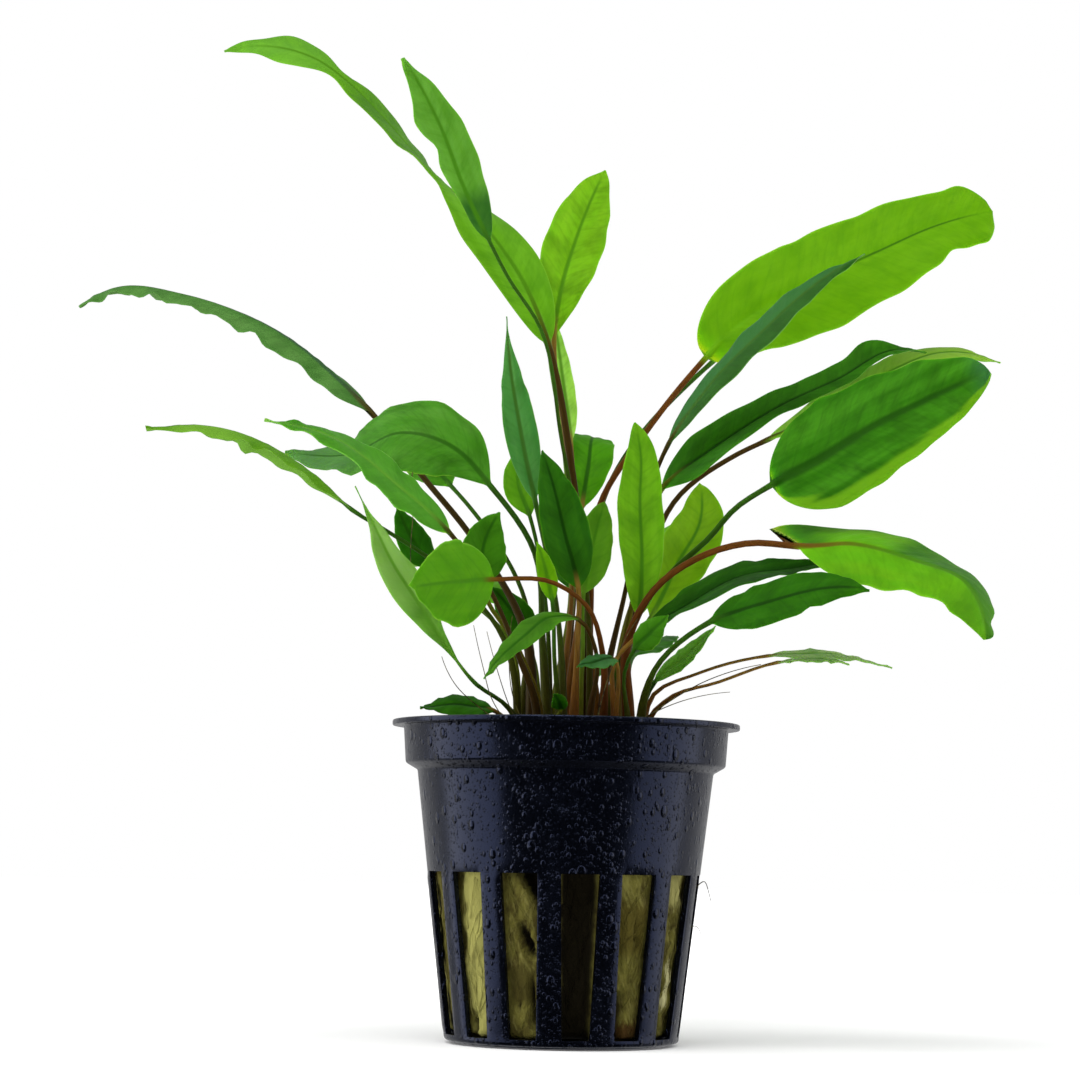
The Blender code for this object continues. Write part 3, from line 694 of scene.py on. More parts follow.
    def stalk_radius(self, t: np.ndarray) -> np.ndarray:
        """The petiole's radius.

        Args:
            t: places from foot (-1) over the neck (0) to the tip (1).

        Returns:
            The radius there. On the blade it stays as it is at the neck.
        """
        taper = 1 - (1 - self.NECK_SHARE) * np.clip(1 + t, 0, 1)
        sheath = 1 + self.SHEATH * soft_step(-t, -self.SHEATH_END, 1.0)
        return self.stalk * self.SLIMNESS / 2 * taper * sheath

    def widths(self, t: np.ndarray, radius: np.ndarray, share: np.ndarray,
               draw: np.random.Generator) -> tuple[np.ndarray, np.ndarray]:
        """How wide the leaf is, with its lobes and its wavy outline.

        Args:
            t: places from foot (-1) over the neck (0) to the tip (1), in a column.
            radius: the petiole's radius there.
            share: each point's share of the half width, once around.
            draw: the leaf's random numbers.

        Returns:
            The half widths without lobes and waves, and how far each point lies from the midrib.
        """
        place, on_blade = np.clip(t, 0, 1), t >= 0
        calm = soft_step(place, 0.08, 0.3)
        least = radius * (1 - place) + self.TIP_RADIUS * place
        half = np.where(on_blade, np.maximum(self.width / 2 * self.share(place), least), radius)
        reach = {1: half, -1: half}
        for where, side, amount, spread in self.lobes:
            reach[side] = reach[side] + amount * np.exp(-(((place - where) / spread) ** 2)) * on_blade
        wave = self.EDGE_WAVE * self.width * np.sin(place * 31 + draw.uniform(0, 6)) * calm
        right, left = (np.maximum(reach[side] + side * wave, least) for side in (1, -1))
        return half, share * np.where(share > 0, right, left)

    def thickness(self, t: np.ndarray, radius: np.ndarray, share: np.ndarray, side: np.ndarray,
                  upper: np.ndarray) -> np.ndarray:
        """How far the leaf's skin lies from its middle. The round petiole runs out into the midrib.

        Args:
            t: places from foot (-1) over the neck (0) to the tip (1), in a column.
            radius: the petiole's radius there.
            share: each point's share of the half width.
            side: each point's distance from the midrib.
            upper: which points lie on the upper side.

        Returns:
            The distances, below 0 on the under side.
        """
        place = np.clip(t, 0, 1)
        rib = radius * (1 - place) ** 1.15 * (1 - 0.5 * soft_step(place, 0.0, 0.15)) + self.RIB_LEAST
        rib = np.where(t >= 0, rib, radius)
        ridge = np.sqrt(np.clip(rib**2 - side**2, 0, None))
        round_top = 1 - soft_step(place, 0.0, 0.16)
        plate = self.HALF_THICKNESS * soft_step(place, 0.0, 0.1) * np.sqrt(1 - np.abs(share) ** 6)
        hollow = np.exp(-((side / self.GROOVE_WIDTH) ** 2))
        groove = self.GROOVE * (1 - round_top) * (1 - 0.6 * place) * hollow
        return np.where(upper, np.hypot(plate, ridge * round_top) - groove, -np.hypot(plate, ridge))

    def relief(self, place: np.ndarray, share: np.ndarray, side: np.ndarray, half: np.ndarray,
               fold: np.ndarray, furrow: np.ndarray, draw: np.random.Generator) -> np.ndarray:
        """How far the blade's middle layer rises: its fold, ruffled margins, swell, quilting and cupping.

        Args:
            place: places from neck (0) to tip (1), in a column.
            share: each point's share of the half width.
            side: each point's distance from the midrib.
            half: the half widths.
            fold: the fold's angle, in radians.
            furrow: the wave of the veins, from -1 to 1.
            draw: the leaf's random numbers.

        Returns:
            The heights.
        """
        phase = draw.uniform(0, 6, 4)
        calm = soft_step(place, 0.04, 0.22)
        beat = 2 * math.pi * self.waves * place * (1 + 0.2 * place)
        beat = beat + np.where(share > 0, phase[0], phase[1])
        beat = beat + 0.9 * np.sin(place * 9 + phase[2])
        swing = 0.65 * np.sin(beat) + 0.35 * np.sin(1.7 * beat + phase[3])
        margin = np.abs(share) ** 2.2
        ripple = self.ruffle * calm * margin * swing * (0.7 + 0.3 * np.sin(place * 13 + phase[1]))
        swell = self.SWELL * self.width * calm * (
            np.sin(place * 7 + phase[2]) * share + 0.6 * np.sin(place * 11 + phase[3]) * (1 - share**2)
        )
        between = soft_step(np.abs(share), 0.06, 0.3) * (1 - soft_step(np.abs(share), 0.8, 1.0))
        quilting = self.quilt * calm * furrow * between
        cupping = -self.cup * half * share**2 * calm
        valley = np.sqrt(side**2 + self.CREASE) - math.sqrt(self.CREASE)
        return valley * np.sin(fold) + ripple + swell + quilting + cupping

    def build(self, foot_height: float) -> bpy.types.Object:
        """Models the leaf as one closed tube that flattens into the blade.

        Args:
            foot_height: the height of the petiole's foot.

        Returns:
            The leaf.
        """
        draw = np.random.default_rng(sum(map(ord, self.name)))
        stalk = self.stalk_tone or list(StalkTone)[draw.integers(len(StalkTone))]
        finish = replace(self.look.value, stalk=stalk, **self.tint)
        path = self.path(foot_height)
        distance, t = self.stations(path)
        centres, sideways, upwards = self.frames(path, distance, t)
        columns = self.BROAD_COLUMNS if self.width > self.BROAD else self.COLUMNS
        turn = np.linspace(0, 2 * math.pi, columns + 1)
        cosine = np.cos(turn)
        cosine[-1] = cosine[0]
        around = cosine * (0.4 + 0.6 * cosine**2)
        upper = np.sin(turn) > 0

        radius = self.stalk_radius(t)[:, None]
        t = t[:, None]
        place, on_blade = np.clip(t, 0, 1), t >= 0
        half, side = self.widths(t, radius, around, draw)
        share = np.broadcast_to(around, side.shape)
        along = distance[:, None] + 0 * side
        furrow = np.cos(2 * math.pi * (along - VEIN_SLANT * np.abs(side)) / finish.pitch)
        fold = math.radians(self.fold) * np.clip(place / self.FOLD_START, 0, 1) * on_blade
        lift = self.relief(place, share, side, half, fold, furrow, draw)
        lift = lift + self.thickness(t, radius, share, side, upper)
        flat = side * np.cos(fold)
        points = (
            centres[:, None, :]
            + sideways[:, None, :] * flat[:, :, None]
            + upwards[:, None, :] * lift[:, :, None]
        )
        heel_side, heel_reach = self.heel
        at_heel = np.clip(share * heel_side, 0, 1) ** 1.3
        behind = heel_reach * at_heel * (1 - soft_step(place, 0.0, 0.22)) * on_blade
        points -= np.cross(upwards, sideways)[:, None, :] * behind[:, :, None]
        points[:, -1] = points[:, 0]
        notes = {
            "place": np.stack([side, along, t + 0 * side], axis=-1),
            "skin": np.stack([np.abs(share), np.broadcast_to(upper * 1.0, side.shape), share], axis=-1),
        }
        bm = bmesh.new()
        for name in notes:
            bm.verts.layers.float_vector.new(name)
        wrap(bm, points, notes)
        piece = add_piece(f"{self.name}_leaf", bm, finish.material(f"{self.name}_leaf_skin"), 80)
        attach(piece, BODY)
        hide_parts(f"leaf_{self.name}")
        return piece


LEAVES = (
    Leaf("arching_top_left", "yellow_green_leaf", Look.BRIGHT, (2.6, 2.4), 10.5,
         stem=((2.5, 1.5, 70), (0, 2, 92.5)),
         blade=((-4, 2.5, 111.5), (-8, 3.5, 121.5), (-15, 6, 131.5), (-21.5, 8, 138.5), (-26.5, 9.5, 144),
                (-32, 10.5, 150.5), (-37.5, 11, 156), (-44, 12, 160.5), (-51.5, 13, 162.5), (-59, 14, 162)),
         faces=((0.3, -1, 0.2), (0.3, -1, 0.2), (0.45, -0.8, 0.35), (0.7, -0.2, 0.65), (0.6, -0.35, 0.7),
                (0.5, -0.5, 0.7), (0.3, -0.8, 0.5), (0.15, -1, 0.25)),
         stalk=1.7, widest=0.27, point=0.8, base=0.6, waves=5.5, stalk_tone=StalkTone.DARK,
         lobes=((0.43, 1, -2.6, 0.05), (0.43, -1, -2.6, 0.05), (0.74, 1, -2.0, 0.05), (0.74, -1, -2.0, 0.05),
                (0.87, 1, 1.4, 0.045), (0.85, -1, 0.6, 0.06)),
         tint={"body": tone(86, 146, 16), "light": tone(108, 168, 42), "dark": tone(54, 112, 12),
               "glow": 0.0,
               "zones": ((0.42, 0.7, 0, tone(48, 98, 18), 0.6), (0.75, 1.0, 0, tone(92, 150, 52), 0.5))}),
    Leaf("upright_tall", "mid_green_leaf", Look.FRESH, (3.6, -1.4), 7.8,
         stem=((3, -3, 69.5), (-1.5, -3.5, 95), (-5.5, -4, 113.5), (-10.5, -4, 121)),
         blade=((-13.5, -5, 126.5), (-17.6, -7, 134.5), (-21.3, -10, 143.5), (-27.5, -15, 153.5)),
         faces=((0.1, -1, 0.1), (-0.1, -1, 0.2), (0.2, -0.9, 0.3)),
         stalk=0.9, widest=0.42, lobes=((0.28, -1, -2.0, 0.2), (0.52, -1, -1.5, 0.07), (0.69, -1, 0.4, 0.06)),
         stalk_tone=StalkTone.DARK_GREEN,
         tint={"body": tone(80, 138, 36), "light": tone(104, 162, 62),
               # The zone paints shade over the base of the blade.
               "zones": ((-0.1, 0.24, 0, tone(26, 78, 26), 0.95),)}),
    Leaf("broad_top", "yellow_green_leaf", Look.BRIGHT, (0.2, 5.0), 9.8,
         stem=((2, 4.5, 70), (-0.5, 4.5, 94.5)),
         blade=((-3, 5, 113), (-2, 6, 121), (0.3, 9, 130), (5, 15, 143)),
         faces=((0.1, -1, 0.1),),
         stalk=1.4, widest=0.5, point=0.8, base=0.95, stalk_tone=StalkTone.TAN,
         tint={"body": tone(104, 164, 18), "light": tone(116, 172, 24), "dark": tone(72, 118, 10),
               "bands": 0.8, "blotches": 0.6, "veins": 0.2}),
    Leaf("narrow_behind_stems", "waxy_green_leaf", Look.WAXY, (-0.8, 8.2), 3.6,
         stem=((0.5, 10, 70.5),),
         blade=((0, 13, 97), (-1.5, 14, 107.5), (-3, 13, 117.5)),
         faces=((0, -1, 0),),
         stalk=1.1, tint={"body": tone(160, 216, 76), "light": tone(176, 224, 106)}),
    Leaf("bent_back", "mid_green_leaf", Look.MID, (5.0, 6.2), 8,
         stem=((2.2, 7.4, 70.5),),
         blade=((2, 12, 86), (3, 15, 93.5), (3.5, 20, 98.5), (5, 28, 97)),
         faces=((0, -1, 0.2), (0, -0.9, 0.5), (0, -0.3, 1)),
         stalk=1.1, widest=0.5, tint={"body": tone(70, 142, 10), "light": tone(86, 156, 22)}),
    Leaf("blue_green_upright", "blue_green_leaf", Look.BLUE, (-0.6, -3.6), 5.4,
         stem=((-1.5, -5, 66),),
         blade=((-5.5, -6, 85), (-8, -7, 96), (-9.5, -8, 104.5), (-10.5, -10, 113.5)),
         faces=((-0.35, -1, 0.2),),
         stalk=1.2, widest=0.36, point=1.7, tint={"body": tone(52, 118, 46)}),
    Leaf("pale_behind_stems", "yellow_green_leaf", Look.FRESH, (-2.8, 3.4), 5,
         stem=((-3.5, 4, 68.5),),
         blade=((-6.5, 7, 84), (-8.5, 9, 89.5), (-7.5, 13, 96)),
         faces=((0.2, -1, 0),),
         stalk=1.0),
    Leaf("folded_center", "dark_green_leaf", Look.DARK, (1.2, -7.4), 8.6,
         stem=((1.5, -8, 61),),
         blade=((1.5, -9, 71), (-0.5, -10, 78.5), (-2, -10, 84.5), (-4.5, -9, 92.5)),
         faces=((0.1, -1, 0.15),),
         fold=28, tint={"body": tone(30, 82, 12)}),
    Leaf("folded_center_right", "mid_green_leaf", Look.FRESH, (2.0, -4.4), 6.5,
         stem=((2.4, -4.6, 61),),
         blade=((2.4, -5, 70.5), (3.6, -5, 77.5), (5.5, -4.5, 85)),
         faces=((0.1, -1, 0.15),),
         stalk=1.1, point=0.7, tint={"body": tone(74, 126, 24)}),
    Leaf("small_pale_center", "yellow_green_leaf", Look.BRIGHT, (-1.2, -9.6), 3,
         stem=((-2, -11, 59.5),),
         blade=((-2.5, -12, 68.5), (-3.5, -13, 73), (-5, -14, 77.5)),
         faces=((0, -1, 0.1),),
         stalk=1.0),
    Leaf("broad_left", "mid_green_leaf", Look.MID, (-3.2, -1.2), 15,
         stem=((-4, -2, 63), (-5.5, -4, 77)),
         blade=((-12.5, -6, 87), (-18.5, -7, 93), (-27, -7, 95), (-35.5, -5, 92), (-45.5, -3, 92)),
         faces=((-0.1, -0.95, 0.3), (-0.15, -0.9, 0.4), (-0.2, -0.6, 0.7), (-0.2, -0.35, 0.9)),
         stalk=1.4, widest=0.48, point=1.2, base=1.05, ruffle=0.6, waves=5, quilt=0.1,
         tint={"body": tone(60, 124, 22), "light": tone(84, 144, 46), "sheen": 0.12, "pitch": 2.2,
               # The zone paints a blue-grey sheen over the outer part of the blade.
               "blotches": 0.5, "zones": ((0.7, 1.0, 0, tone(84, 124, 78), 0.6),)}),
    Leaf("waxy_left", "waxy_green_leaf", Look.WAXY, (-4.6, -7.6), 7.6,
         stem=((-8, -9.5, 61), (-14, -13.5, 73)),
         blade=((-18.5, -16, 78.5), (-25.5, -20, 84.5), (-32, -24, 89.5), (-38, -28, 92), (-46, -31, 93.5)),
         faces=((-0.1, -0.8, 0.6), (-0.2, -0.7, 0.7), (-0.1, -0.5, 0.85)),
         stalk=1.1, widest=0.35, ruffle=0.5,
         tint={"body": tone(64, 132, 22), "light": tone(86, 152, 46), "dark": tone(40, 98, 14)}),
    Leaf("ruffled_upper_left", "blue_green_leaf", Look.BLUE, (-5.6, 2.8), 7.4,
         stem=((-6.5, 4, 63.5), (-16, 6, 80.5), (-23.5, 7, 89.5)),
         blade=((-33, 9, 101), (-41.5, 11, 109.2), (-52.5, 13, 116.5), (-64.5, 15, 121), (-76.5, 17, 122),
                (-82.5, 18, 119)),
         faces=((-0.3, -0.3, 1), (-0.1, -0.1, 1)),
         stalk=1.5, stalk_tone=StalkTone.DARK, fold=-38, widest=0.45, point=0.8, ruffle=0.9, waves=6.5,
         lobes=((0.08, -1, 1.2, 0.07),),
         tint={"body": tone(62, 112, 44), "light": tone(88, 134, 64), "dark": tone(34, 76, 24),
               "rib": tone(44, 80, 48), "rib_width": 0.5, "glow": 0.0}),
    Leaf("ruffled_lower_left", "mid_green_leaf", Look.FRESH, (-7.8, 0.6), 6.8,
         stem=((-10, 0, 63), (-20.5, -3, 74.5), (-28.5, -6, 79.5)),
         blade=((-34, -9, 82.5), (-39.5, -12, 87.3), (-46, -15, 91.5), (-52.5, -18, 93.5),
                (-58.5, -20, 94), (-65, -22, 93)),
         faces=((-0.3, -0.3, 1), (-0.1, -0.1, 1)),
         stalk=1.0, fold=-32, widest=0.42, point=0.8, ruffle=0.7, waves=4.5,
         tint={"body": tone(86, 138, 26), "rib": tone(44, 86, 24), "rib_width": 0.5, "glow": 0.0,
               "zones": ((0.62, 0.9, 0, tone(118, 166, 58), 0.6),)}),
    Leaf("bright_facing", "yellow_green_leaf", Look.FRESH, (5.8, -8.4), 12.8,
         stem=((5.5, -10, 60.5), (3, -14, 67.5), (-2.5, -17, 71)),
         blade=((-11.5, -20, 71), (-17, -26, 70), (-23.5, -33, 68.5)),
         faces=((0.73, -0.68, 0),),
         stalk=1.1, widest=0.44, base=0.5, lobes=((0.4, -1, 0.5, 0.12),), stalk_tone=StalkTone.RED_BROWN,
         tint={"body": tone(70, 132, 12), "light": tone(92, 150, 22), "veins": 0.25}),
    Leaf("dark_left", "dark_green_leaf", Look.MID, (-7.8, 4.2), 5.5,
         stem=((-9.5, 5, 63.5), (-18, 3, 71.5)),
         blade=((-22, 2, 75), (-25, 1, 79), (-27.5, -1, 84)),
         faces=((0.2, -1, 0.2),),
         stalk=1.0, tint={"body": tone(40, 108, 12), "light": tone(58, 124, 26), "dark": tone(20, 72, 6)}),
    Leaf("folded_left", "mid_green_leaf", Look.MID, (-4.2, -5.0), 8,
         stem=((-7.5, -6.5, 61),),
         blade=((-13.5, -9, 71), (-13.5, -10, 76.5), (-11, -10, 82.5)),
         faces=((0.3, -0.9, 0.2),),
         stalk=1.1, fold=20),
    Leaf("long_narrow_left", "waxy_green_leaf", Look.WAXY, (-8.0, -4.8), 6.0,
         stem=((-9.5, -6, 52.5),),
         blade=((-14, -8, 55.5), (-18.6, -11, 61), (-23, -14, 67.5), (-27, -17, 73.5), (-29.6, -19, 78.5),
                (-33, -20, 85)),
         faces=((-0.5, -0.8, 0.3), (-0.3, -0.9, 0.3), (-0.5, -0.7, 0.4)),
         stalk=1.0, fold=25, widest=0.54, point=2.2, base=3.0, stalk_tone=StalkTone.DARK_GREEN,
         tint={"body": tone(84, 140, 34), "light": tone(118, 166, 70), "dark": tone(52, 104, 22),
               "zones": ((0.45, 0.85, 0, tone(140, 182, 92), 0.6),)}),
    Leaf("small_arching_front", "mid_green_leaf", Look.MID, (3.6, -10.8), 5,
         stem=((4.6, -12, 60),),
         blade=((1.5, -16, 65.5), (-2.5, -18, 65.5), (-6.5, -21, 62.5), (-9.5, -23, 59.5),
                (-12.5, -25, 55.5)),
         faces=((0, -0.5, 0.9),),
         stalk=1.0, tint={"body": tone(62, 108, 24)}),
    Leaf("small_dark_front", "dark_green_leaf", Look.DARK, (7.6, -9.6), 4,
         stem=((8, -11, 56.5),),
         blade=((7.5, -13, 59.5), (4.5, -16, 59), (1.5, -18, 58)),
         faces=((0, -0.6, 0.8),),
         stalk=0.9, tint={"body": tone(48, 96, 46), "light": tone(70, 116, 66)}),
    Leaf("newest_front", "dark_green_leaf", Look.DARK, (-1.8, -12.0), 2.6,
         stem=(),
         blade=((-0.9, -12.5, 51.5), (-1.2, -13.2, 52.8), (-2, -14, 54)),
         faces=((0, -1, 0.2),),
         stalk=0.9),
    Leaf("over_rim_left", "dark_green_leaf", Look.DARK, (-9.8, -1.8), 6.6,
         stem=(),
         blade=((-11.5, -3, 51.8), (-17, -4, 52.5), (-23, -5, 51.9)),
         faces=((0, -0.55, 0.85),),
         stalk=1.0),
    Leaf("dark_behind_left", "dark_green_leaf", Look.DARK, (-5.2, 6.4), 5.5,
         stem=((-5.5, 7.5, 60.5),),
         blade=((-6, 8.5, 64), (-9, 9, 68.5), (-12.5, 9.5, 72.5)),
         faces=((-0.1, -1, 0.2),),
         stalk=1.0),
    Leaf("folded_upright_right", "waxy_green_leaf", Look.FRESH, (6.4, -3.6), 8,
         stem=((8.2, -3.2, 60),),
         blade=((11, -3.8, 67), (11.5, -5.5, 75.5), (11, -7.5, 85), (11, -9, 92), (10, -10, 97)),
         faces=((0, -1, 0.1),),
         fold=25, widest=0.5, point=0.7,
         tint={"body": tone(92, 152, 16), "light": tone(116, 174, 30)}),
    Leaf("broad_behind_right", "yellow_green_leaf", Look.FRESH, (6.6, 6.8), 9.5,
         stem=((8.5, 7, 60),),
         blade=((13.5, 9, 68), (17.5, 12, 76.5), (21.5, 15, 84.5), (21.5, 18, 91)),
         faces=((-0.1, -1, 0.1),),
         stalk=1.2, widest=0.5, point=0.7,
         tint={"body": tone(106, 156, 14), "light": tone(124, 172, 28), "dark": tone(70, 122, 8)}),
    Leaf("small_right", "mid_green_leaf", Look.MID, (9.6, -7.2), 4.5,
         stem=((9, -8, 58),),
         blade=((10.5, -10, 61.5), (13, -12, 64), (15.5, -13.5, 66.5)),
         faces=((0, -0.9, 0.4),),
         stalk=0.9),
    Leaf("large_upper_right", "yellow_green_leaf", Look.BRIGHT, (3.6, 9.8), 17,
         stem=((3.5, 10.5, 69), (5, 10, 86.5), (12, 10, 98)),
         blade=((22, 11, 111), (28.5, 12, 118), (39.5, 14, 124), (50, 17, 130), (60.5, 20, 135.5),
                (70.5, 23, 138.5)),
         faces=((-0.1, -1, 0.15), (-0.1, -0.95, 0.3)),
         stalk=1.5, stalk_tone=StalkTone.RED_BROWN, widest=0.42, point=0.33, base=0.45, ruffle=0.5,
         lobes=((0.94, -1, 1.4, 0.04), (0.95, 1, 0.8, 0.03), (0.82, 1, -1.5, 0.05)),
         tint={"bands": 0.4, "blotches": 0.35, "rib_start": 0.42, "rib": tone(48, 98, 8), "rib_width": 0.24}),
    Leaf("blue_green_right", "blue_green_leaf", Look.BLUE, (5.6, -1.0), 6.4,
         stem=((9, -1, 71), (12.5, -2, 87)),
         blade=((15.5, -4, 94.5), (21.3, -6, 103), (28.5, -9, 110.5), (36, -12, 117.5), (45.5, -14, 123.5)),
         faces=((-0.5, -0.7, 0.5),),
         stalk=1.1, widest=0.45, point=1.2,
         # Painted shade and sheen: the dark body stands for the half in shade, and the zone paints a teal sheen
         # over the other half.
         tint={"body": tone(30, 80, 20), "light": tone(46, 98, 36), "dark": tone(18, 58, 12),
               "zones": ((0.0, 1.0, -1, tone(46, 104, 50), 0.75),)}),
    Leaf("dark_right", "dark_green_leaf", Look.DARK, (8.0, 0.2), 9.8,
         stem=((11, 0, 73.5),),
         blade=((14.5, -1, 87.5), (21.5, -2, 93.5), (30.5, -2, 99.5), (42.5, 1, 106), (51.5, 4, 111.5),
                (57.5, 7, 111.5)),
         faces=((-0.4, -0.7, 0.6),),
         fold=18, widest=0.22, base=1.0,
         lobes=((0.83, -1, 1.6, 0.06), (0.5, 1, -1.6, 0.18), (0.5, -1, -0.9, 0.18), (0.13, 1, 1.6, 0.08)),
         tint={"body": tone(38, 98, 8), "light": tone(56, 118, 18)}),
    Leaf("large_right", "dark_green_leaf", Look.DARK, (9.2, 2.0), 18,
         stem=((11.5, 1, 68.5), (17, -1, 75), (22, -4, 79.5), (26, -7, 84)),
         blade=((31.5, -10, 87.5), (39, -14, 91.5), (48, -18, 96.5), (57, -22, 101), (63.5, -25, 103.5)),
         faces=((-0.2, -0.95, 0.3),),
         stalk=1.4, widest=0.32, point=0.62, base=0.55, stalk_tone=StalkTone.DARK_GREEN,
         tint={"body": tone(38, 100, 6), "light": tone(60, 126, 20), "margin": tone(102, 154, 20),
               "rib": tone(22, 66, 6), "rib_run": 0.03, "rib_width": 0.75, "bands": 0.85,
               "rim": 0.66, "rim_half": 1,
               "zones": ((0.95, 1.1, 0, tone(52, 104, 64), 0.7),)}),
    Leaf("behind_large_right", "yellow_green_leaf", Look.FRESH, (8.4, 5.2), 9,
         stem=((11.5, 6, 70.5), (17.5, 9, 87.5), (27, 12, 95)),
         blade=((32.5, 14, 98), (41, 17, 103), (50.5, 21, 109.5), (62, 24, 114.5), (72.5, 27, 113.5)),
         faces=((-0.3, -0.5, 0.8), (-0.2, -0.7, 0.6)),
         tint={"body": tone(108, 154, 42), "zones": ((0.6, 1.0, 0, tone(130, 170, 56), 0.7),)}),
    Leaf("drooping_right", "yellow_green_leaf", Look.BRIGHT, (9.8, -4.0), 15.5,
         stem=((9.6, -5.2, 63.5), (13.5, -7.5, 71), (20.5, -10, 76), (28, -12.5, 78)),
         blade=((35.5, -14, 77.5), (43.5, -18, 77.3), (51.5, -23, 75.2), (59.5, -28, 70.5),
                (62.3, -31, 62.3)),
         faces=((0, -0.75, 0.65), (0, -0.75, 0.65), (0.3, -0.6, 0.7), (0.7, -0.55, 0.45)),
         stalk=1.6, fold=-15, widest=0.45, point=0.6, base=0.75,
         lobes=((0.03, -1, 3.6, 0.1), (0.93, -1, -0.9, 0.025)), heel=(-1, 5.5),
         stalk_tone=StalkTone.RED_BROWN,
         tint={"body": tone(88, 158, 14), "rib_run": 0.45, "rib_width": 0.45,
               # Painted shade: the first zone darkens one half of the blade's base, where its lobe folds into
               # shadow, and the second darkens the same half from the middle to the tip, where the blade bends
               # away from the light.
               "zones": ((-0.1, 0.12, -1, tone(38, 92, 22), 0.9), (0.4, 1.1, -1, tone(34, 90, 12), 0.95),
                         (0.78, 1.0, 0, tone(64, 118, 20), 0.6))}),
    Leaf("dark_low_right", "dark_green_leaf", Look.DARK, (7.6, -6.8), 8.5,
         stem=((7.6, -7, 60),),
         blade=((11.5, -7, 64), (19, -7.5, 69), (28.5, -6.5, 73.7), (35, -5, 75), (41.5, -4, 76)),
         faces=((-0.2, -0.5, 0.85),),
         stalk=1.1, fold=15, base=1.0, lobes=((0.5, 1, 1.2, 0.3),), tint={"body": tone(20, 66, 8)}),
    Leaf("oval_low_right", "dark_green_leaf", Look.DARK, (11.6, -6.8), 8.2,
         stem=((13.5, -10, 58),),
         blade=((22, -15, 65.5), (30, -20, 68), (38, -25, 70), (45, -29, 69.5)),
         faces=((0, -0.9, 0.45),),
         tint={"body": tone(30, 88, 4)}),
    Leaf("thin_lowest_right", "waxy_green_leaf", Look.WAXY, (12.4, 1.4), 5.5,
         stem=((13.5, 1, 54.5), (21, 1, 58.5)),
         blade=((32, 2, 61.5), (41, 3, 62), (52, 4, 60)),
         faces=((0, -0.3, 1),),
         stalk=0.75, stalk_tone=StalkTone.TAN, tint={"body": tone(150, 180, 106), "sheen": 0.12}),
    Leaf("thin_lowest_front", "waxy_green_leaf", Look.WAXY, (12.8, -2.4), 3.5,
         stem=((16, -5, 54), (23.5, -9, 56.5)),
         blade=((32.5, -13, 59.5), (38, -16, 60), (43, -19, 59)),
         faces=((0, -0.3, 1),),
         stalk=0.75, stalk_tone=StalkTone.TAN, tint={"body": tone(150, 180, 106), "sheen": 0.12}),
    Leaf("narrow_low_right", "waxy_green_leaf", Look.WAXY, (12.0, 4.4), 3.4,
         stem=(),
         blade=((14, 2, 57), (18.5, 1, 61), (23.5, 0, 66)),
         faces=((-0.5, -0.8, 0.4),),
         stalk=1.0),
    Leaf("back_left", "mid_green_leaf", Look.MID, (-7.2, 8.4), 8,
         stem=((-7, 15, 70.5), (-16.5, 20, 86.5)),
         blade=((-20, 22, 90.5), (-25, 30, 96), (-32, 38, 99)),
         faces=((-0.2, -0.8, 0.6),),
         stalk=1.1),
    Leaf("back_right", "mid_green_leaf", Look.FRESH, (7.4, 9.8), 9,
         stem=((9, 20, 65),),
         blade=((12, 32, 75), (16, 44, 83.5), (21, 55, 89)),
         faces=((-0.2, -0.7, 0.7), (0, -0.3, 1))),
    Leaf("back_center", "dark_green_leaf", Look.DARK, (0.6, 11.6), 10,
         stem=((0.5, 18, 64.5),),
         blade=((1, 30, 74), (0.5, 44, 85), (-0.5, 58, 92)),
         faces=((0, -0.7, 0.7), (0, -0.3, 1)),
         stalk=1.4),
    Leaf("back_low_left", "mid_green_leaf", Look.FRESH, (-4.8, 9.8), 8.5,
         stem=((-5.5, 16, 61),),
         blade=((-11.5, 26, 71), (-19.5, 40, 77.5), (-28, 54, 80)),
         faces=((0, -0.5, 0.85), (0, -0.1, 1)),
         stalk=1.2),
    Leaf("back_low_right", "dark_green_leaf", Look.DARK, (10.4, 7.6), 7,
         stem=((10, 13, 58),),
         blade=((11, 22, 62.5), (15, 34, 66), (19, 46, 67.5)),
         faces=((0, -0.5, 0.85), (0, -0.1, 1)),
         stalk=1.1),
    Leaf("back_lowest", "mid_green_leaf", Look.MID, (-1.8, 13.0), 6.5,
         stem=((1, 18, 55),),
         blade=((2, 24, 57.5), (3.5, 36, 61.5), (5, 48, 62.5)),
         faces=((0, -0.2, 1),),
         stalk=1.0),
    Leaf("back_high_right", "mid_green_leaf", Look.FRESH, (4.0, 12.6), 9,
         stem=((3.5, 16, 69.5), (5.5, 20, 88)),
         blade=((24, 30, 113.5), (39, 42, 125.5), (56, 56, 133)),
         faces=((-0.4, -0.6, 0.7),)),
    Leaf("back_upright", "dark_green_leaf", Look.DARK, (-2.0, 11.4), 5.5,
         stem=((0.5, 15, 71), (-1, 18, 96)),
         blade=((-4, 22, 116), (-3.5, 28, 125), (-1.5, 34, 132.5)),
         faces=((0, -1, 0.2),)),
)


def rounded(corners: list[tuple[float, float, float]], steps: int = 3) -> list[tuple[float, float]]:
    """An outline with its corners rounded.

    Args:
        corners: radius, height and rounding of each corner. A rounding of 0 leaves the corner as it is.
        steps: the segments in each rounding.

    Returns:
        The outline's points, as radius and height.
    """
    outline = []
    for index, (radius, height, rounding) in enumerate(corners):
        corner = np.array((radius, height))
        if rounding == 0:
            outline.append(tuple(corner))
            continue
        before = np.array(corners[index - 1][:2]) - corner
        after = np.array(corners[index + 1][:2]) - corner
        start = corner + before / np.linalg.norm(before) * rounding
        end = corner + after / np.linalg.norm(after) * rounding
        for share in np.linspace(0, 1, steps + 1):
            bend = (1 - share) ** 2 * start + 2 * share * (1 - share) * corner + share**2 * end
            outline.append(tuple(bend))
    return outline


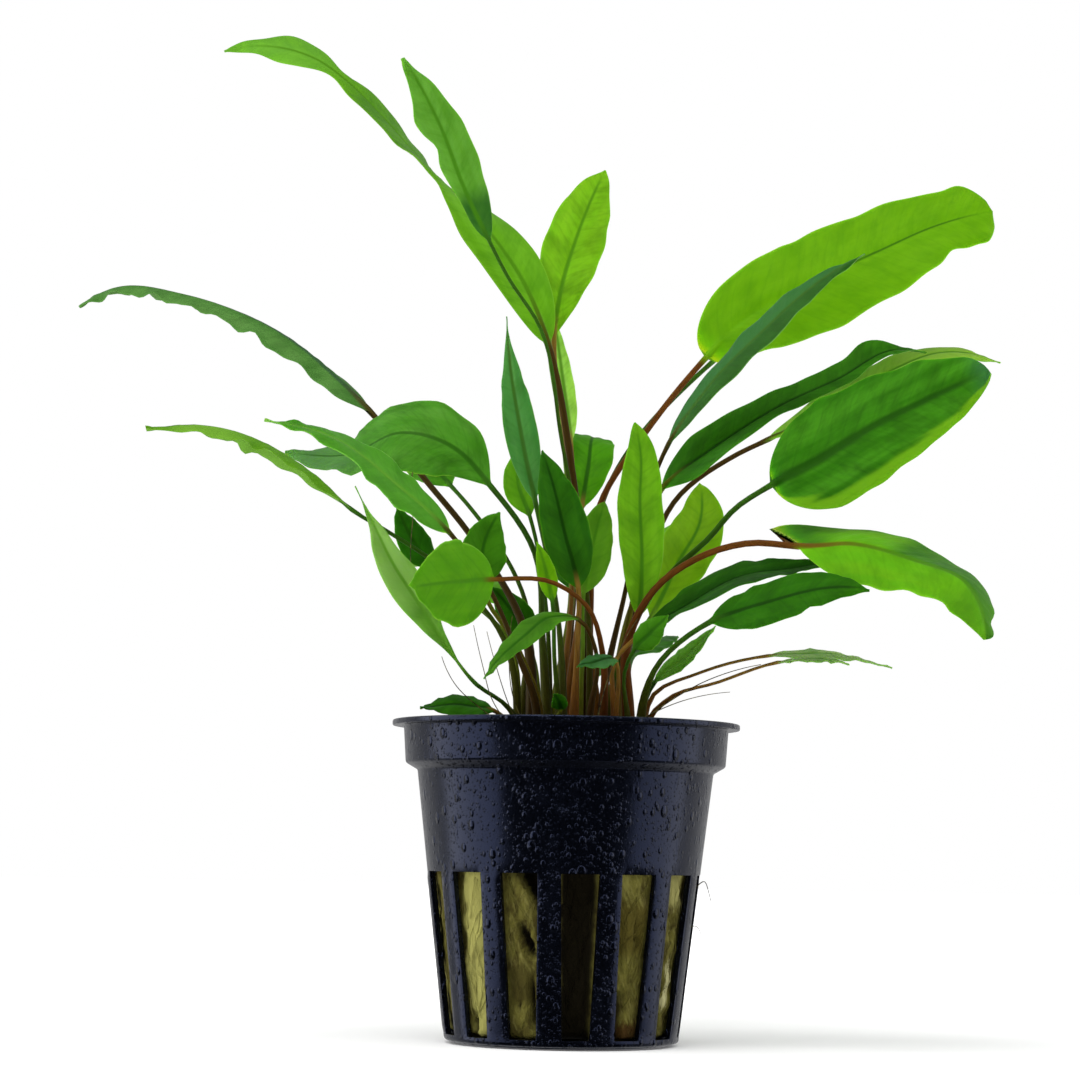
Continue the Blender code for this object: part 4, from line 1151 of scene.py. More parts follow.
def turned(outline: list[tuple[float, float]], steps: int) -> bmesh.types.BMesh:
    """A closed shape turned about Z.

    Args:
        outline: radius and height of its points, which start and end on Z.
        steps: the segments around.

    Returns:
        The mesh.
    """
    bm = bmesh.new()
    verts = [bm.verts.new((radius * MM, 0, height * MM)) for radius, height in outline]
    edges = [bm.edges.new(pair) for pair in zip(verts, verts[1:])]
    bmesh.ops.spin(
        bm, geom=verts + edges, axis=UP, cent=(0, 0, 0), angle=2 * math.pi, steps=steps, use_merge=True
    )
    bmesh.ops.remove_doubles(bm, verts=bm.verts, dist=MERGE * MM)
    bmesh.ops.recalc_face_normals(bm, faces=bm.faces)
    return bm


@dataclass(frozen=True)
class PlasticFinish:
    """Wet black plastic: almost black, with water beading on it in fine domes."""

    body: Colour = (0.0010, 0.0013, 0.0024)
    scuff: Colour = (0.0028, 0.0034, 0.006)
    glint: Colour = (0.4, 0.5, 1.0)
    gloss: float = 0.18
    shine: float = 0.36
    bead_size: float = 0.8  # millimetres from one bead to the next
    drop_size: float = 2.1  # millimetres from one large drop to the next
    relief: float = 0.3

    LOWER = 0.6  # a small bead's height as a share of a large one's

    def material(self) -> bpy.types.Material:
        """The finish as a material.

        Returns:
            The material.
        """
        material, kit = new_material("black_moulded_plastic")
        place = kit.millimetres()
        fine = self.beads(kit, place, self.bead_size * 0.55, 0.3)
        large = self.beads(kit, place, self.bead_size, 0.2)
        beads = large.math("MAXIMUM", fine * self.LOWER)
        x, y, height = kit.parts(place)
        hanging = kit.vector(x, y, height * 0.75)
        small_drops = self.beads(kit, hanging, self.drop_size * 0.6, 0.1)
        drops = self.beads(kit, hanging, self.drop_size, 0.1).math("MAXIMUM", small_drops * self.LOWER)
        wet = kit.noise(kit.vector(x, y, height * 0.45), 0.2, 3.0, 0.6).ramp(0.36, 0.56)
        beads = beads * (0.55 + wet * 0.45)
        film = kit.noise(kit.vector(x, y, height * 0.4), 0.42, 3.0, 0.55)
        smear = kit.noise(place, 0.3, 4.0, 0.65)
        grain = kit.noise(place, 5.0, 2.0)
        colour = kit.mix(smear.ramp(0.45, 0.75) * 0.8, self.body, self.scuff)
        rough = self.gloss + smear * 0.12 - beads.math("MAXIMUM", drops) * 0.12
        relief = beads * 0.55 + drops * 1.2 + grain * 0.015 + smear * 0.12 + film.ramp(0.6, 0.72) * 0.1
        kit.principled({
            "Base Color": colour,
            "Roughness": rough,
            "Specular IOR Level": self.shine,
            "Specular Tint": self.glint,
            "Normal": kit.bump(relief, self.relief),
        })
        return material

    def beads(self, kit: NodeKit, place: Value, spacing: float, share: float) -> Value:
        """Round domes of unlike sizes.

        Args:
            place: where they are read, in millimetres.
            spacing: from one to the next, in millimetres.
            share: how many of them are missing, from 0 to 1.

        Returns:
            Their height, from 0 to 1.
        """
        node = kit.add("ShaderNodeTexVoronoi", {"feature": "F1"}, {"Vector": place, "Scale": 1 / spacing})
        colour = Value(kit, node.link.node.outputs["Color"])
        chance, size, _ = kit.parts(colour)
        radius = 0.16 + size * 0.2
        dome = (1 - (node / radius) ** 2.0).math("MAXIMUM", 0.0) ** 0.5
        return dome * chance.ramp(share, share + 0.02)


@dataclass
class NetPot:
    """The slotted net pot: one moulded double skin with bridged slots and drains."""

    height: float = 50.2
    flange_radius: float = 27.5
    flange: float = 0.9  # its thickness
    lip_top: float = 25.7
    lip_bottom: float = 25.3
    lip_height: float = 43.7
    step_height: float = 42.4
    wall_top: float = 23.4
    wall_bottom: float = 18.4
    wall: float = 0.9
    floor: float = 1.1
    base_rounding: float = 0.9
    disc_radius: float = 16.6  # the disc under the base that the pot stands on
    disc_edge: float = 16.9  # the radius at which the disc's edge ends
    disc_height: float = 0.35
    slots: int = 14
    columns: int = 12  # around, to each slot and rib
    slot_columns: int = 8
    first_slot: float = math.radians(-90 + FIRST_SLOT)
    slot_low: float = 1.4
    slot_high: float = 26.5
    half_low: float = math.radians(6.8)  # half of a slot's width at its bottom
    half_high: float = math.radians(8.1)  # the same at its top
    drain_inner: float = 7.5
    drain_outer: float = 14.5
    drain_columns: int = 10
    rib_rise: float = 0.13
    edge: float = 0.12  # the rounding of the slots' and drains' edges
    finish: PlasticFinish = PlasticFinish()

    def wall_radius(self, height: float) -> float:
        """The wall's outer radius at a height."""
        share = (height - self.base_rounding) / (self.step_height - self.base_rounding)
        return self.wall_bottom + share * (self.wall_top - self.wall_bottom)

    def outline(self) -> list[tuple[float, float]]:
        """The outline that is turned to make the pot.

        Returns:
            Its points, from the middle of the base out, up, over the flange and back inside.
        """
        rows = (self.slot_low, 2.6, 25.4, self.slot_high, 28.5)
        outer = [(self.wall_radius(height), height, 0.0) for height in rows]
        inner = [(self.wall_radius(height) - self.wall, height, 0.0) for height in reversed(rows)]
        top, under = self.height, self.height - self.flange
        corners = [
            (0.0, 0.0, 0.0),
            (self.drain_inner, 0.0, 0.0),
            (self.drain_outer, 0.0, 0.0),
            (self.disc_radius, 0.0, 0.2),
            (self.disc_edge, self.disc_height, 0.2),
            (self.wall_bottom, self.disc_height, 0.6),
            *outer,
            (self.wall_top, self.step_height, 0.25),
            (self.lip_bottom, self.lip_height - 0.2, 0.35),
            (self.lip_top, under, 0.3),
            (self.flange_radius, under, 0.25),
            (self.flange_radius, top, 0.3),
            (self.lip_top - self.wall, top, 0.35),
            (self.lip_bottom - self.wall, self.lip_height + self.wall, 0.3),
            (self.wall_top - self.wall, self.step_height + self.wall, 0.3),
            *inner,
            (self.wall_radius(self.floor) - self.wall, self.floor, 0.2),
            (self.drain_outer, self.floor, 0.0),
            (self.drain_inner, self.floor, 0.0),
            (0.0, self.floor, 0.0),
        ]
        return rounded(corners)

    def build(self) -> bpy.types.Object:
        """Models the pot.

        Returns:
            The pot.
        """
        steps = self.slots * self.columns
        bm = turned(self.outline(), steps)
        turn = Matrix.Rotation(self.first_slot, 4, "Z")
        bmesh.ops.transform(bm, matrix=turn, verts=bm.verts)
        for index in range(self.slots):
            self.open_hole(bm, index, self.slot_columns, self.in_slot)
        for index in range(0, self.slots, 2):
            self.open_hole(bm, index, self.drain_columns, self.in_drain)
        self.shape_ribs(bm)
        self.soften(bm)
        piece = add_piece("net_pot", bm, self.finish.material(), 38)
        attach(piece, BODY)
        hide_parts("pot")
        return piece

    def in_slot(self, radius: float, height: float) -> bool:
        """Whether a face's middle lies in the band of the slots."""
        return self.slot_low < height < self.slot_high and radius > self.wall_radius(0.0) - 2 * self.wall

    def in_drain(self, radius: float, height: float) -> bool:
        """Whether a face's middle lies in the band of the drains."""
        return self.drain_inner < radius < self.drain_outer and height < self.floor + self.wall

    def open_hole(self, bm: bmesh.types.BMesh, index: int, columns: int,
                  band: Callable[[float, float], bool]) -> None:
        """Cuts one hole through both skins and closes its sides.

        Args:
            bm: the pot's mesh.
            index: the slot that the hole lies at.
            columns: how many columns it takes.
            band: says whether a face's middle, by radius and height, lies in the hole's band.
        """
        pitch = 2 * math.pi / self.slots
        middle = self.first_slot + index * pitch
        reach = (columns / 2) * pitch / self.columns
        gone = []
        for face in bm.faces:
            centre = face.calc_center_median()
            apart = (math.atan2(centre.y, centre.x) - middle + math.pi) % (2 * math.pi) - math.pi
            if abs(apart) < reach and band(math.hypot(centre.x, centre.y) / MM, centre.z / MM):
                gone.append(face)
        bmesh.ops.delete(bm, geom=gone, context="FACES")
        rims = [edge for edge in bm.edges if edge.is_boundary]
        bmesh.ops.bridge_loops(bm, edges=rims)

    def shape_ribs(self, bm: bmesh.types.BMesh) -> None:
        """Narrows the slots towards the base and lifts the ribs between them.

        Args:
            bm: the pot's mesh.
        """
        pitch = 2 * math.pi / self.slots
        column = pitch / self.columns
        edge = self.slot_columns / 2 * column
        for vert in bm.verts:
            radius = math.hypot(vert.co.x, vert.co.y) / MM
            height = vert.co.z / MM
            if radius < 1.0 or height < self.slot_low - 0.05:
                continue
            turn = math.atan2(vert.co.y, vert.co.x)
            share = (turn - self.first_slot) / pitch
            middle = self.first_slot + round(share) * pitch
            apart = turn - middle
            rise = min(max((height - self.slot_low) / (self.slot_high - self.slot_low), 0), 1)
            half = self.half_low + rise * (self.half_high - self.half_low)
            if abs(apart) <= edge:
                moved = apart * half / edge
            else:
                rest = (abs(apart) - edge) / (pitch / 2 - edge)
                moved = math.copysign(half + rest * (pitch / 2 - half), apart)
            outside = radius > self.wall_radius(height) - self.wall / 2
            on_rib = abs(apart) > edge + 0.5 * column and outside
            if on_rib and self.slot_low + 0.5 < height < self.slot_high - 0.5:
                radius += self.rib_rise
            if height > self.slot_high + 1:
                continue
            vert.co.x = radius * MM * math.cos(middle + moved)
            vert.co.y = radius * MM * math.sin(middle + moved)

    def soften(self, bm: bmesh.types.BMesh) -> None:
        """Rounds the edges of the slots and drains.

        Args:
            bm: the pot's mesh.
        """
        bmesh.ops.recalc_face_normals(bm, faces=bm.faces)
        slack = 0.1
        sharp = []
        for edge in bm.edges:
            middle = (edge.verts[0].co + edge.verts[1].co) / 2
            radius, height = math.hypot(middle.x, middle.y) / MM, middle.z / MM
            beside = radius < self.drain_outer + slack or height > self.slot_low - slack
            near = height < self.slot_high + slack and beside
            if near and edge.is_manifold and edge.calc_face_angle() > math.radians(50):
                sharp.append(edge)
        bmesh.ops.bevel(
            bm, geom=sharp, offset=self.edge * MM, offset_type="OFFSET", segments=2, profile=0.5,
            affect="EDGES", material=-1, clamp_overlap=True,
        )


@dataclass(frozen=True)
class WoolFinish:
    """Damp mineral wool: matted olive fibres, pale where they stand out, with painted shade that darkens them
    in the hollows.

    Each patch is a direction in degrees right of the front, a half width in degrees, a lowest and highest
    height, a colour and how strongly it shows.
    """

    body: Colour = tone(99, 95, 41)
    pale: Colour = tone(132, 127, 70)
    damp: Colour = tone(62, 55, 22)
    hollow: Colour = tone(24, 20, 8)
    patches: tuple[tuple[float, float, float, float, Colour, float], ...] = (
        # The first patch paints light on the slot at the left, which faces the left lamp. The third paints the
        # shadow that the pot's upper edge casts on the top of a slot.
        (-44.4, 9.0, -5.0, 40.0, tone(158, 155, 86), 0.9),
        (-18.7, 9.0, 6.0, 13.5, tone(60, 54, 20), 0.8),
        (-18.7, 9.0, 25.0, 40.0, tone(50, 46, 20), 0.6),
        (32.7, 9.0, 13.5, 23.0, tone(74, 66, 22), 0.85),
        (27.0, 4.0, 23.0, 40.0, tone(138, 134, 68), 0.6),
        (32.7, 9.0, -5.0, 5.0, tone(60, 36, 12), 0.9),
        (58.4, 9.0, 20.5, 40.0, tone(146, 142, 86), 0.8),
        (59.0, 2.6, 5.0, 14.0, tone(176, 172, 126), 0.85),
    )

    FADE = 2.0  # how far a patch's top and bottom fade out

    def material(self) -> bpy.types.Material:
        """The finish as a material.

        Returns:
            The material.
        """
        material, kit = new_material("olive_rock_wool")
        place = kit.millimetres()
        depth, light, _ = kit.attribute("nap")
        x, y, z = kit.parts(place)
        lean = kit.vector(x + z * 0.35, y + z * 0.2, z * 0.22)
        strands = kit.noise(lean, 1.9, 3.0, 0.6)
        tufts = kit.noise(kit.vector(x - z * 0.2, y, z * 0.6), 0.42, 3.0, 0.55)
        crumbs = kit.noise(place, 3.4, 2.0)
        colour = kit.mix(tufts.ramp(0.3, 0.6), self.damp, self.body)
        colour = kit.mix(strands.ramp(0.45, 0.75) * 0.5 * light, colour, self.pale)
        colour = kit.mix(crumbs.ramp(0.56, 0.75) * 0.3, colour, self.damp)
        degrees = x.math("ARCTAN2", y * -1.0) * (180 / math.pi) + (tufts - 0.5) * 6
        ragged = z + (strands - 0.5) * 4
        for middle, half, low, high, tint, strength in self.patches:
            across = abs(degrees - middle).ramp(half, half * 0.6)
            mask = across * ragged.ramp(low, low + self.FADE) * ragged.ramp(high, high - self.FADE)
            colour = kit.mix(mask * (strength * (0.5 + 0.5 * tufts.ramp(0.2, 0.5))), colour, tint)
        # Painted shade: the colour darkens towards the hollow colour where the nap attribute says the surface
        # lies deep in a hollow or dent.
        colour = kit.mix(depth.ramp(0.2, 0.8), colour, self.hollow)
        height = strands * 0.6 + tufts * 0.25 + crumbs * 0.15
        kit.principled({
            "Base Color": colour,
            "Roughness": 0.95,
            "Specular IOR Level": 0.12,
            "Normal": kit.bump(height, 0.3),
        })
        return material


@dataclass
class RockWool:
    """The mineral wool plug. Each hollow is a direction in degrees right of the front, a lowest and highest
    height, a half width in degrees, a depth, and how far it leans in degrees to the millimetre."""

    pot: NetPot
    low: float = 1.5
    high: float = 46.5
    shoulder: float = 2.2
    top_radius: float = 15.5
    rows: int = 66
    steps: int = 210
    gap: float = 0.15
    bulge: float = 0.35
    nap: float = 0.9
    slot_half: float = 7.2  # about half of a slot's width, in degrees
    # How deep a place lies also sets how dark its painted shade is.
    full_depth: float = 2.6  # the depth that counts as 1 in the nap attribute
    hollow_end: float = 2.5  # how far a hollow takes to reach its depth, from its top and bottom
    lumpy_from: float = 16.0  # the radius from which the plug has lumps
    hollows: tuple[tuple[float, float, float, float, float, float], ...] = (
        (7.0, -2.0, 32.0, 8.2, 3.2, 0.0),
        (-14.0, 19.0, 34.0, 6.0, 3.4, -1.65),
        (-16.8, 13.0, 19.8, 2.4, 3.0, -1.2),
        (-14.0, 2.0, 11.5, 1.3, 2.0, -0.2),
        (-21.0, 4.0, 9.0, 1.2, 1.3, 0.4),
        (29.0, 0.0, 10.0, 2.6, 1.7, 0.0),
        (36.0, 14.0, 20.0, 1.2, 1.5, -0.6),
        (54.5, 1.0, 12.0, 1.6, 2.6, -0.4),
        (60.5, 14.5, 21.0, 2.4, 2.4, -0.5),
        (-49.0, 1.0, 6.0, 2.2, 1.8, 0.25),
        (108.0, 4.0, 22.0, 1.8, 2.2, 0.3),
        (160.0, 2.0, 12.0, 3.0, 2.8, 0.0),
        (-110.0, 8.0, 24.0, 1.8, 2.4, -0.3),
        (-165.0, 3.0, 17.0, 2.0, 2.2, 0.3),
    )
    finish: WoolFinish = WoolFinish()

    def surface_radius(self, height: float) -> float:
        """The plug's radius before its lumps."""
        return self.pot.wall_radius(height) - self.pot.wall - self.gap

    def hollow_at(self, degrees: float, height: float) -> float:
        """How deep the hollows are at a place.

        Args:
            degrees: the direction, in degrees right of the front.
            height: the height.

        Returns:
            The depth in millimetres.
        """
        deepest = 0.0
        for middle, low, high, width, depth, lean in self.hollows:
            if not low < height < high:
                continue
            apart = (degrees - middle - lean * (height - (low + high) / 2) + 180) % 360 - 180
            share = max(0.0, 1 - (apart / width) ** 2)
            ends = min(1.0, (height - low) / self.hollow_end, (high - height) / self.hollow_end)
            deepest = max(deepest, depth * math.sqrt(share) * ends)
        return deepest

    def lump(self, radius: float, turn: float, height: float) -> tuple[float, float]:
        """The plug's surface at one place.

        Args:
            radius: the radius before the lumps.
            turn: the direction in radians.
            height: the height.

        Returns:
            The radius with its lumps, and how deep the place lies, from 0 to 1.
        """
        place = Vector((math.cos(turn) * radius, math.sin(turn) * radius, height))
        lean = Vector((place.x + height * 0.35, place.y + height * 0.2, height * 0.3))
        coarse = noise.fractal(place * 0.16, 1.0, 2.0, 3)
        fine = noise.fractal(lean * 0.75, 0.9, 2.1, 3)
        degrees = math.degrees(turn) + 90
        deep = self.hollow_at(degrees, height)
        nap = self.nap * (0.45 - 0.55 * coarse - 0.5 * fine)
        pitch = 360 / self.pot.slots
        apart = (degrees - FIRST_SLOT + pitch / 2) % pitch - pitch / 2
        open_share = max(0.0, 1 - (apart / self.slot_half) ** 2)
        inside = 1.0 if self.pot.slot_low < height < self.pot.slot_high else 0.0
        bulge = self.bulge * open_share * inside
        inward = max(nap, -0.05 - bulge) - bulge + deep
        lumped = radius - max(inward, -0.75 * open_share * inside)
        return lumped, min(1.0, max(0.0, inward / self.full_depth))

    def build(self) -> bpy.types.Object:
        """Models the plug.

        Returns:
            The plug.
        """
        heights = np.linspace(self.low + 0.5, self.high - self.shoulder, self.rows)
        side = [(self.surface_radius(height), float(height)) for height in heights]
        last = side[-1][0]
        outline = [
            (0.0, self.low), (7.0, self.low), (12.0, self.low), (side[0][0] - 0.8, self.low), *side,
            (last - 0.6, self.high - 1.1), (last - 1.8, self.high - 0.4), (19.0, self.high - 0.1),
            (17.3, self.high), (self.top_radius, self.high), (8.0, self.high), (0.0, self.high),
        ]
        bm = turned(outline, self.steps)
        nap = bm.verts.layers.float_vector.new("nap")
        for vert in bm.verts:
            radius = math.hypot(vert.co.x, vert.co.y) / MM
            height = vert.co.z / MM
            turn = math.atan2(vert.co.y, vert.co.x)
            depth = 0.0
            if radius > self.lumpy_from and height < self.high - 0.5:
                lumped, depth = self.lump(radius, turn, height)
                vert.co.x, vert.co.y = lumped * math.cos(turn) * MM, lumped * math.sin(turn) * MM
            elif height > self.high - 1.5 and radius > 1.0:
                vert.co.z -= 0.5 * MM * (1 + noise.noise(vert.co / MM * 0.4)) / 2
            # The depth is kept for the painted shade of the hollows.
            vert[nap] = (depth, 1.0, 0.0)
        piece = add_piece("wool_plug", bm, self.finish.material())
        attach(piece, BODY)
        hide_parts("rock_wool")
        return piece

    def build_fibres(self, count: int = 26, stations: int = 8) -> bpy.types.Object:
        """Lays loose fibres over the plug, where the slots show it.

        Args:
            count: the fibres at each slot.
            stations: the points along a fibre.

        Returns:
            The fibres as one piece.
        """
        draw = np.random.default_rng(14)
        reach = 0.115  # how far a fibre may lie from its slot's middle, in radians
        bm = bmesh.new()
        bm.verts.layers.float_vector.new("nap")
        for index in range(self.pot.slots):
            middle = self.pot.first_slot + index * 2 * math.pi / self.pot.slots
            for _ in range(count):
                low = draw.uniform(self.pot.slot_low + 0.5, self.pot.slot_high - 4)
                length = draw.uniform(3, 9)
                start = middle + draw.uniform(-0.1, 0.1)
                lean = draw.normal(0.012, 0.022)
                heights = np.minimum(low + np.linspace(0, length, stations), self.pot.slot_high - 0.3)
                turns = start + lean * (heights - low) + 0.01 * np.sin(heights * draw.uniform(0.4, 1.2))
                turns = np.clip(turns, middle - reach, middle + reach)
                proud = draw.uniform(0.0, 0.22) + 0.12 * np.sin(np.linspace(0, math.pi, stations))
                spine, depths = [], []
                for turn, height, lift in zip(turns, heights, proud):
                    radius, depth = self.lump(self.surface_radius(height), turn, height)
                    spine.append(((radius + lift) * math.cos(turn), (radius + lift) * math.sin(turn), height))
                    depths.append(depth)
                thick = draw.uniform(0.03, 0.07)
                light = draw.uniform(0.2, 0.9)
                points = tube(spine, np.full(stations, thick), 4)
                notes = np.zeros(points.shape)
                # A fibre's depth darkens it with the painted shade of the hollows.
                notes[:, :, 0] = np.array(depths)[:, None] * 0.8
                notes[:, :, 1] = light
                wrap(bm, points, {"nap": notes})
        piece = add_piece("wool_fibres", bm, self.finish.material())
        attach(piece, BODY)
        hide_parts("rock_wool")
        return piece


def tube(spine: list[Point], radii: np.ndarray, around: int) -> np.ndarray:
    """Places of a thin tube for wrap().

    Args:
        spine: the points along it.
        radii: its radius at each point.
        around: the points in a section.

    Returns:
        The places, by station and then around.
    """
    points = np.array(spine, float)
    along = np.gradient(points, axis=0)
    along /= np.linalg.norm(along, axis=1)[:, None]
    aside = np.cross(along, (0.31, -0.87, 0.38))
    aside /= np.linalg.norm(aside, axis=1)[:, None]
    upward = np.cross(aside, along)
    turn = np.linspace(0, 2 * math.pi, around + 1)
    turn[-1] = 0.0
    ring = np.cos(turn)[None, :, None] * aside[:, None, :] + np.sin(turn)[None, :, None] * upward[:, None, :]
    return points[:, None, :] + radii[:, None, None] * ring


@dataclass(frozen=True)
class CrownFinish:
    """Brown rhizome skin with paler scars."""

    body: Colour = tone(52, 46, 16)
    pale: Colour = tone(104, 96, 44)
    dark: Colour = tone(22, 16, 7)

    def material(self) -> bpy.types.Material:
        """The finish as a material.

        Returns:
            The material.
        """
        material, kit = new_material("brown_rhizome_skin")
        place = kit.millimetres()
        scales = kit.noise(place, 0.7, 4.0, 0.6)
        pits = kit.noise(place, 2.6, 3.0)
        colour = kit.mix(scales.ramp(0.42, 0.62), self.body, self.pale)
        colour = kit.mix(pits.ramp(0.5, 0.68) * 0.8, colour, self.dark)
        kit.principled({
            "Base Color": colour,
            "Roughness": 0.65,
            "Specular IOR Level": 0.25,
            "Normal": kit.bump(scales * 0.6 + pits * 0.4, 0.5),
        })
        return material


@dataclass
class Crown:
    """The rhizome: a low knobbly dome that all the petioles grow from."""

    base: float = 46.9
    radius: float = 15.5
    height: float = 2.6
    gap: float = 0.4  # from the dome to a leaf's solid
    knob: float = 0.55  # the height of its lumps
    finish: CrownFinish = CrownFinish()

    def top(self, x: float, y: float) -> float:
        """The height of the dome at a place."""
        share = min(math.hypot(x, y) / self.radius, 1)
        return self.base + self.height * math.sqrt(1 - share**2)

    def foot(self, leaf: Leaf) -> float:
        """The height at which a leaf's solid starts."""
        return self.top(*leaf.foot) + self.gap

    def build(self) -> bpy.types.Object:
        """Models the dome.

        Returns:
            The dome.
        """
        bm = bmesh.new()
        bmesh.ops.create_uvsphere(bm, u_segments=96, v_segments=64, radius=self.radius * MM)
        below = [vert for vert in bm.verts if vert.co.z < -MERGE * MM]
        bmesh.ops.delete(bm, geom=below, context="VERTS")
        rim = [edge for edge in bm.edges if edge.is_boundary]
        bmesh.ops.holes_fill(bm, edges=rim, sides=0)
        for vert in bm.verts:
            share = vert.co.z / (self.radius * MM)
            lump = noise.fractal(vert.co / MM * 0.45, 1.0, 2.0, 3) * self.knob * min(1.0, share * 6)
            vert.co.z = vert.co.z * self.height / self.radius + (self.base + lump) * MM
        piece = add_piece("rhizome_crown", bm, self.finish.material())
        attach(piece, BODY)
        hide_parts("crown")
        return piece


@dataclass
class Threads:
    """Fine root hairs and loose threads. Each is a thickness and the points that it passes."""

    finish: CrownFinish = CrownFinish()
    stations: int = 18  # the points along a thread
    around: int = 6  # the sides of a thread
    hairs: tuple[tuple[float, tuple[Point, ...]], ...] = (
        (0.1, ((19.6, -1.9, 22.5), (20.9, -2.1, 24.8), (22.0, -2.2, 25.6), (22.8, -2.3, 23.8),
               (23.1, -2.3, 22.6))),
        (0.08, ((19.4, -2.2, 18.0), (20.8, -2.4, 18.6), (21.6, -2.5, 17.4))),
        (0.1, ((-24.2, -8.5, 92.0), (-24.8, -10.5, 87.0), (-24.4, -12.0, 82.0), (-24.6, -13.0, 76.0),
               (-24.0, -14.0, 68.0))),
        (0.1, ((-8.0, -10.4, 48.6), (-11.5, -12.5, 53.0), (-13.0, -13.0, 58.0), (-14.6, -12.6, 64.5))),
        (0.1, ((-7.0, -10.0, 48.6), (-9.0, -12.6, 52.5), (-10.6, -13.4, 57.0), (-12.5, -13.6, 63.5))),
        (0.12, ((-8.5, -8.8, 48.6), (-13.0, -11.0, 51.5), (-17.5, -13.0, 55.6), (-19.4, -13.6, 59.5))),
        (0.1, ((-6.0, -10.8, 48.6), (-8.4, -13.0, 54.0), (-9.0, -13.8, 60.0), (-8.6, -13.6, 66.0))),
        (0.1, ((9.0, -9.0, 48.6), (13.0, -12.0, 51.2), (19.0, -14.5, 53.6), (25.0, -16.5, 54.6))),
        (0.12, ((9.6, -6.0, 48.6), (14.5, -8.0, 52.4), (22.0, -10.0, 56.8), (30.0, -12.0, 59.2))),
        (0.1, ((4.6, -11.0, 48.6), (5.6, -12.4, 54.0), (7.6, -12.8, 60.0), (10.8, -12.0, 66.0))),
    )

    def build(self) -> bpy.types.Object:
        """Models the threads as one piece.

        Returns:
            The piece.
        """
        bm = bmesh.new()
        taper = np.linspace(1.0, 0.5, self.stations)
        for thick, points in self.hairs:
            path = SmoothPath(points)
            spine = [path.at(distance)[0] for distance in np.linspace(0, path.reach[-1], self.stations)]
            wrap(bm, tube(spine, thick * taper, self.around))
        piece = add_piece("root_threads", bm, self.finish.material())
        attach(piece, BODY)
        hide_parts("crown")
        return piece


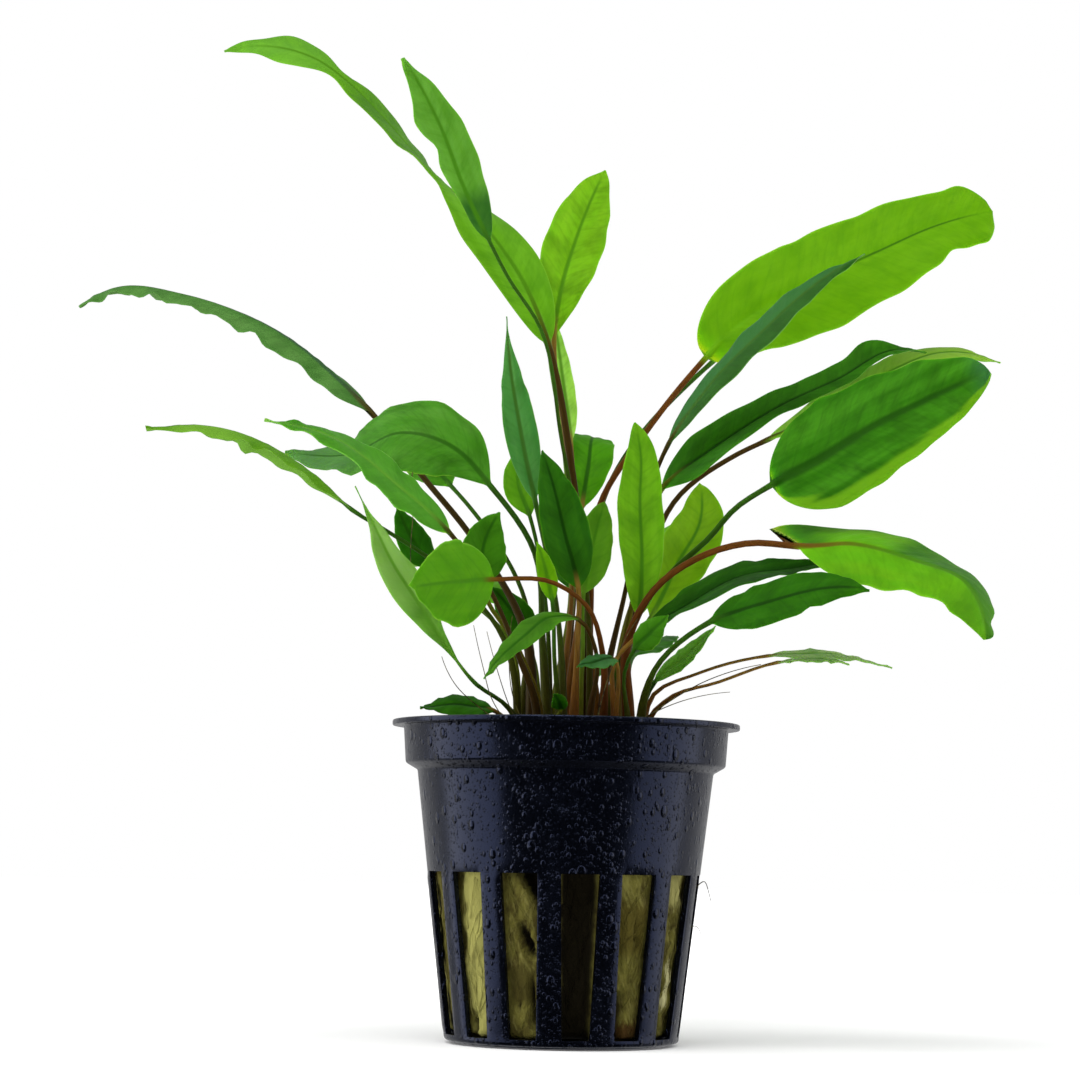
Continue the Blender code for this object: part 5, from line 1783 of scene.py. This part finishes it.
@dataclass
class Studio:
    """The pale floor, the soft lights and the camera.

    Lengths are metres here, but millimetres for the lens and the sensor. The camera's angles are radians.
    """

    camera_place: Point = (0.0, -0.480, 0.02906)
    yaw: float = -0.00972
    pitch: float = 0.10421
    roll: float = 0.01742
    lens: float = 100.83
    sensor: float = 36.0
    floor_radius: float = 2.5
    floor_depth: float = 0.0001  # how far it lies below the pot
    sweep_start: float = 40.0  # where the floor starts to brighten, in millimetres from the pot's axis
    sweep_end: float = 320.0  # where it is fully bright
    aim: Point = (0.0, 0.0, 0.07)  # where the lights point

    def build_camera(self) -> None:
        """Sets up the camera at the photograph's viewing angle."""
        data = bpy.data.cameras.new("studio_camera")
        data.lens = self.lens
        data.sensor_width = self.sensor
        data.clip_start = 0.01
        data.clip_end = 10.0
        forward = Vector((
            math.sin(self.yaw) * math.cos(self.pitch),
            math.cos(self.yaw) * math.cos(self.pitch),
            math.sin(self.pitch),
        ))
        level = Vector((math.cos(self.yaw), -math.sin(self.yaw), 0.0))
        upright = level.cross(forward)
        right = level * math.cos(self.roll) + upright * math.sin(self.roll)
        top = upright * math.cos(self.roll) - level * math.sin(self.roll)
        camera = add_object("studio_camera", data)
        turned_so = Matrix((right, top, -forward)).transposed().to_4x4()
        camera.matrix_world = Matrix.Translation(self.camera_place) @ turned_so
        bpy.context.scene.camera = camera

    def build_floor(self) -> None:
        """Lays a large pale disc under the pot."""
        material, kit = new_material("pale_floor")
        place = kit.millimetres()
        grain = kit.noise(place, 0.4, 2.0)
        distance = kit.add("ShaderNodeVectorMath", {"operation": "LENGTH"}, {0: place}, "Value")
        sweep = kit.mix(distance.ramp(self.sweep_start, self.sweep_end), (0.1, 0.1, 0.1), WHITE)
        kit.principled({
            "Base Color": kit.mix(grain, (0.93, 0.93, 0.93), (0.95, 0.95, 0.95)),
            "Roughness": 0.9,
            "Specular IOR Level": 0.0,
            "Emission Color": sweep,
            "Emission Strength": 1.0,
        })
        bm = bmesh.new()
        bmesh.ops.create_circle(bm, cap_ends=True, segments=96, radius=self.floor_radius)
        for vert in bm.verts:
            vert.co.z = -self.floor_depth
        mesh = bpy.data.meshes.new("studio_floor")
        bm.to_mesh(mesh)
        bm.free()
        mesh.materials.append(material)
        floor = add_object("studio_floor", mesh)
        floor.visible_glossy = False

    def build_light(self, name: str, turn: float, rise: float, away: float, size: tuple[float, float],
                    power: float) -> None:
        """Adds one softbox that faces the plant.

        Args:
            name: its name.
            turn: its direction in degrees right of the camera's side.
            rise: its height in degrees.
            away: its distance.
            size: its width and height.
            power: its watts.
        """
        data = bpy.data.lights.new(name, "AREA")
        data.shape = "RECTANGLE"
        data.size, data.size_y = size
        data.energy = power
        light = add_object(name, data)
        heading = math.radians(turn - 90)
        offset = Vector((
            math.cos(math.radians(rise)) * math.cos(heading),
            math.cos(math.radians(rise)) * math.sin(heading),
            math.sin(math.radians(rise)),
        )) * away
        turned_so = offset.to_track_quat("Z", "Y").to_matrix().to_4x4()
        light.matrix_world = Matrix.Translation(Vector(self.aim) + offset) @ turned_so
        light.visible_camera = False

    def build_world(self) -> None:
        """A white background, with soft light from above and behind for all that the camera doesn't see."""
        world = bpy.data.worlds.new("studio_surround")
        world.use_nodes = True
        kit = NodeKit(world.node_tree)
        direction = kit.add("ShaderNodeTexCoord", {}, {}, "Generated")
        _, y, z = kit.parts(direction)
        overhead = z.ramp(0.1, 0.9) * 0.46
        behind = y.ramp(-0.3, 0.6) * 0.55
        glow = (overhead + behind * (1 - z.ramp(0.2, 1.0))) + 0.02
        around = kit.add("ShaderNodeBackground", {}, {"Color": WHITE, "Strength": glow})
        seen = kit.add("ShaderNodeBackground", {}, {"Color": WHITE, "Strength": 1.0})
        to_camera = kit.add("ShaderNodeLightPath", {}, {}, "Is Camera Ray")
        kit.finish(kit.add("ShaderNodeMixShader", {}, {0: to_camera, 1: around, 2: seen}))
        bpy.context.scene.world = world

    def build(self) -> None:
        """Sets up the whole studio."""
        self.build_camera()
        self.build_floor()
        self.build_world()
        self.build_light("left_softbox", -80.0, 12.0, 0.62, (0.7, 0.9), 4.5)
        self.build_light("right_softbox", 82.0, 12.0, 0.66, (0.7, 0.9), 3.2)
        self.build_light("front_top_softbox", -12.0, 58.0, 0.75, (0.5, 0.35), 2.9)
        view = bpy.context.scene.view_settings
        view.view_transform = "Standard"
        view.look = "None"
        view.exposure = 0.0
        view.gamma = 1.0


def main() -> None:
    """Builds the studio, then the pot and what fills it, then each leaf."""
    logging.basicConfig(level=logging.INFO, format="%(message)s")
    Studio().build()
    pot = NetPot()
    pot.build()
    wool = RockWool(pot)
    wool.build()
    wool.build_fibres()
    crown = Crown()
    crown.build()
    Threads().build()
    for leaf in LEAVES:
        leaf.build(crown.foot(leaf))


if __name__ == "__main__":
    main()
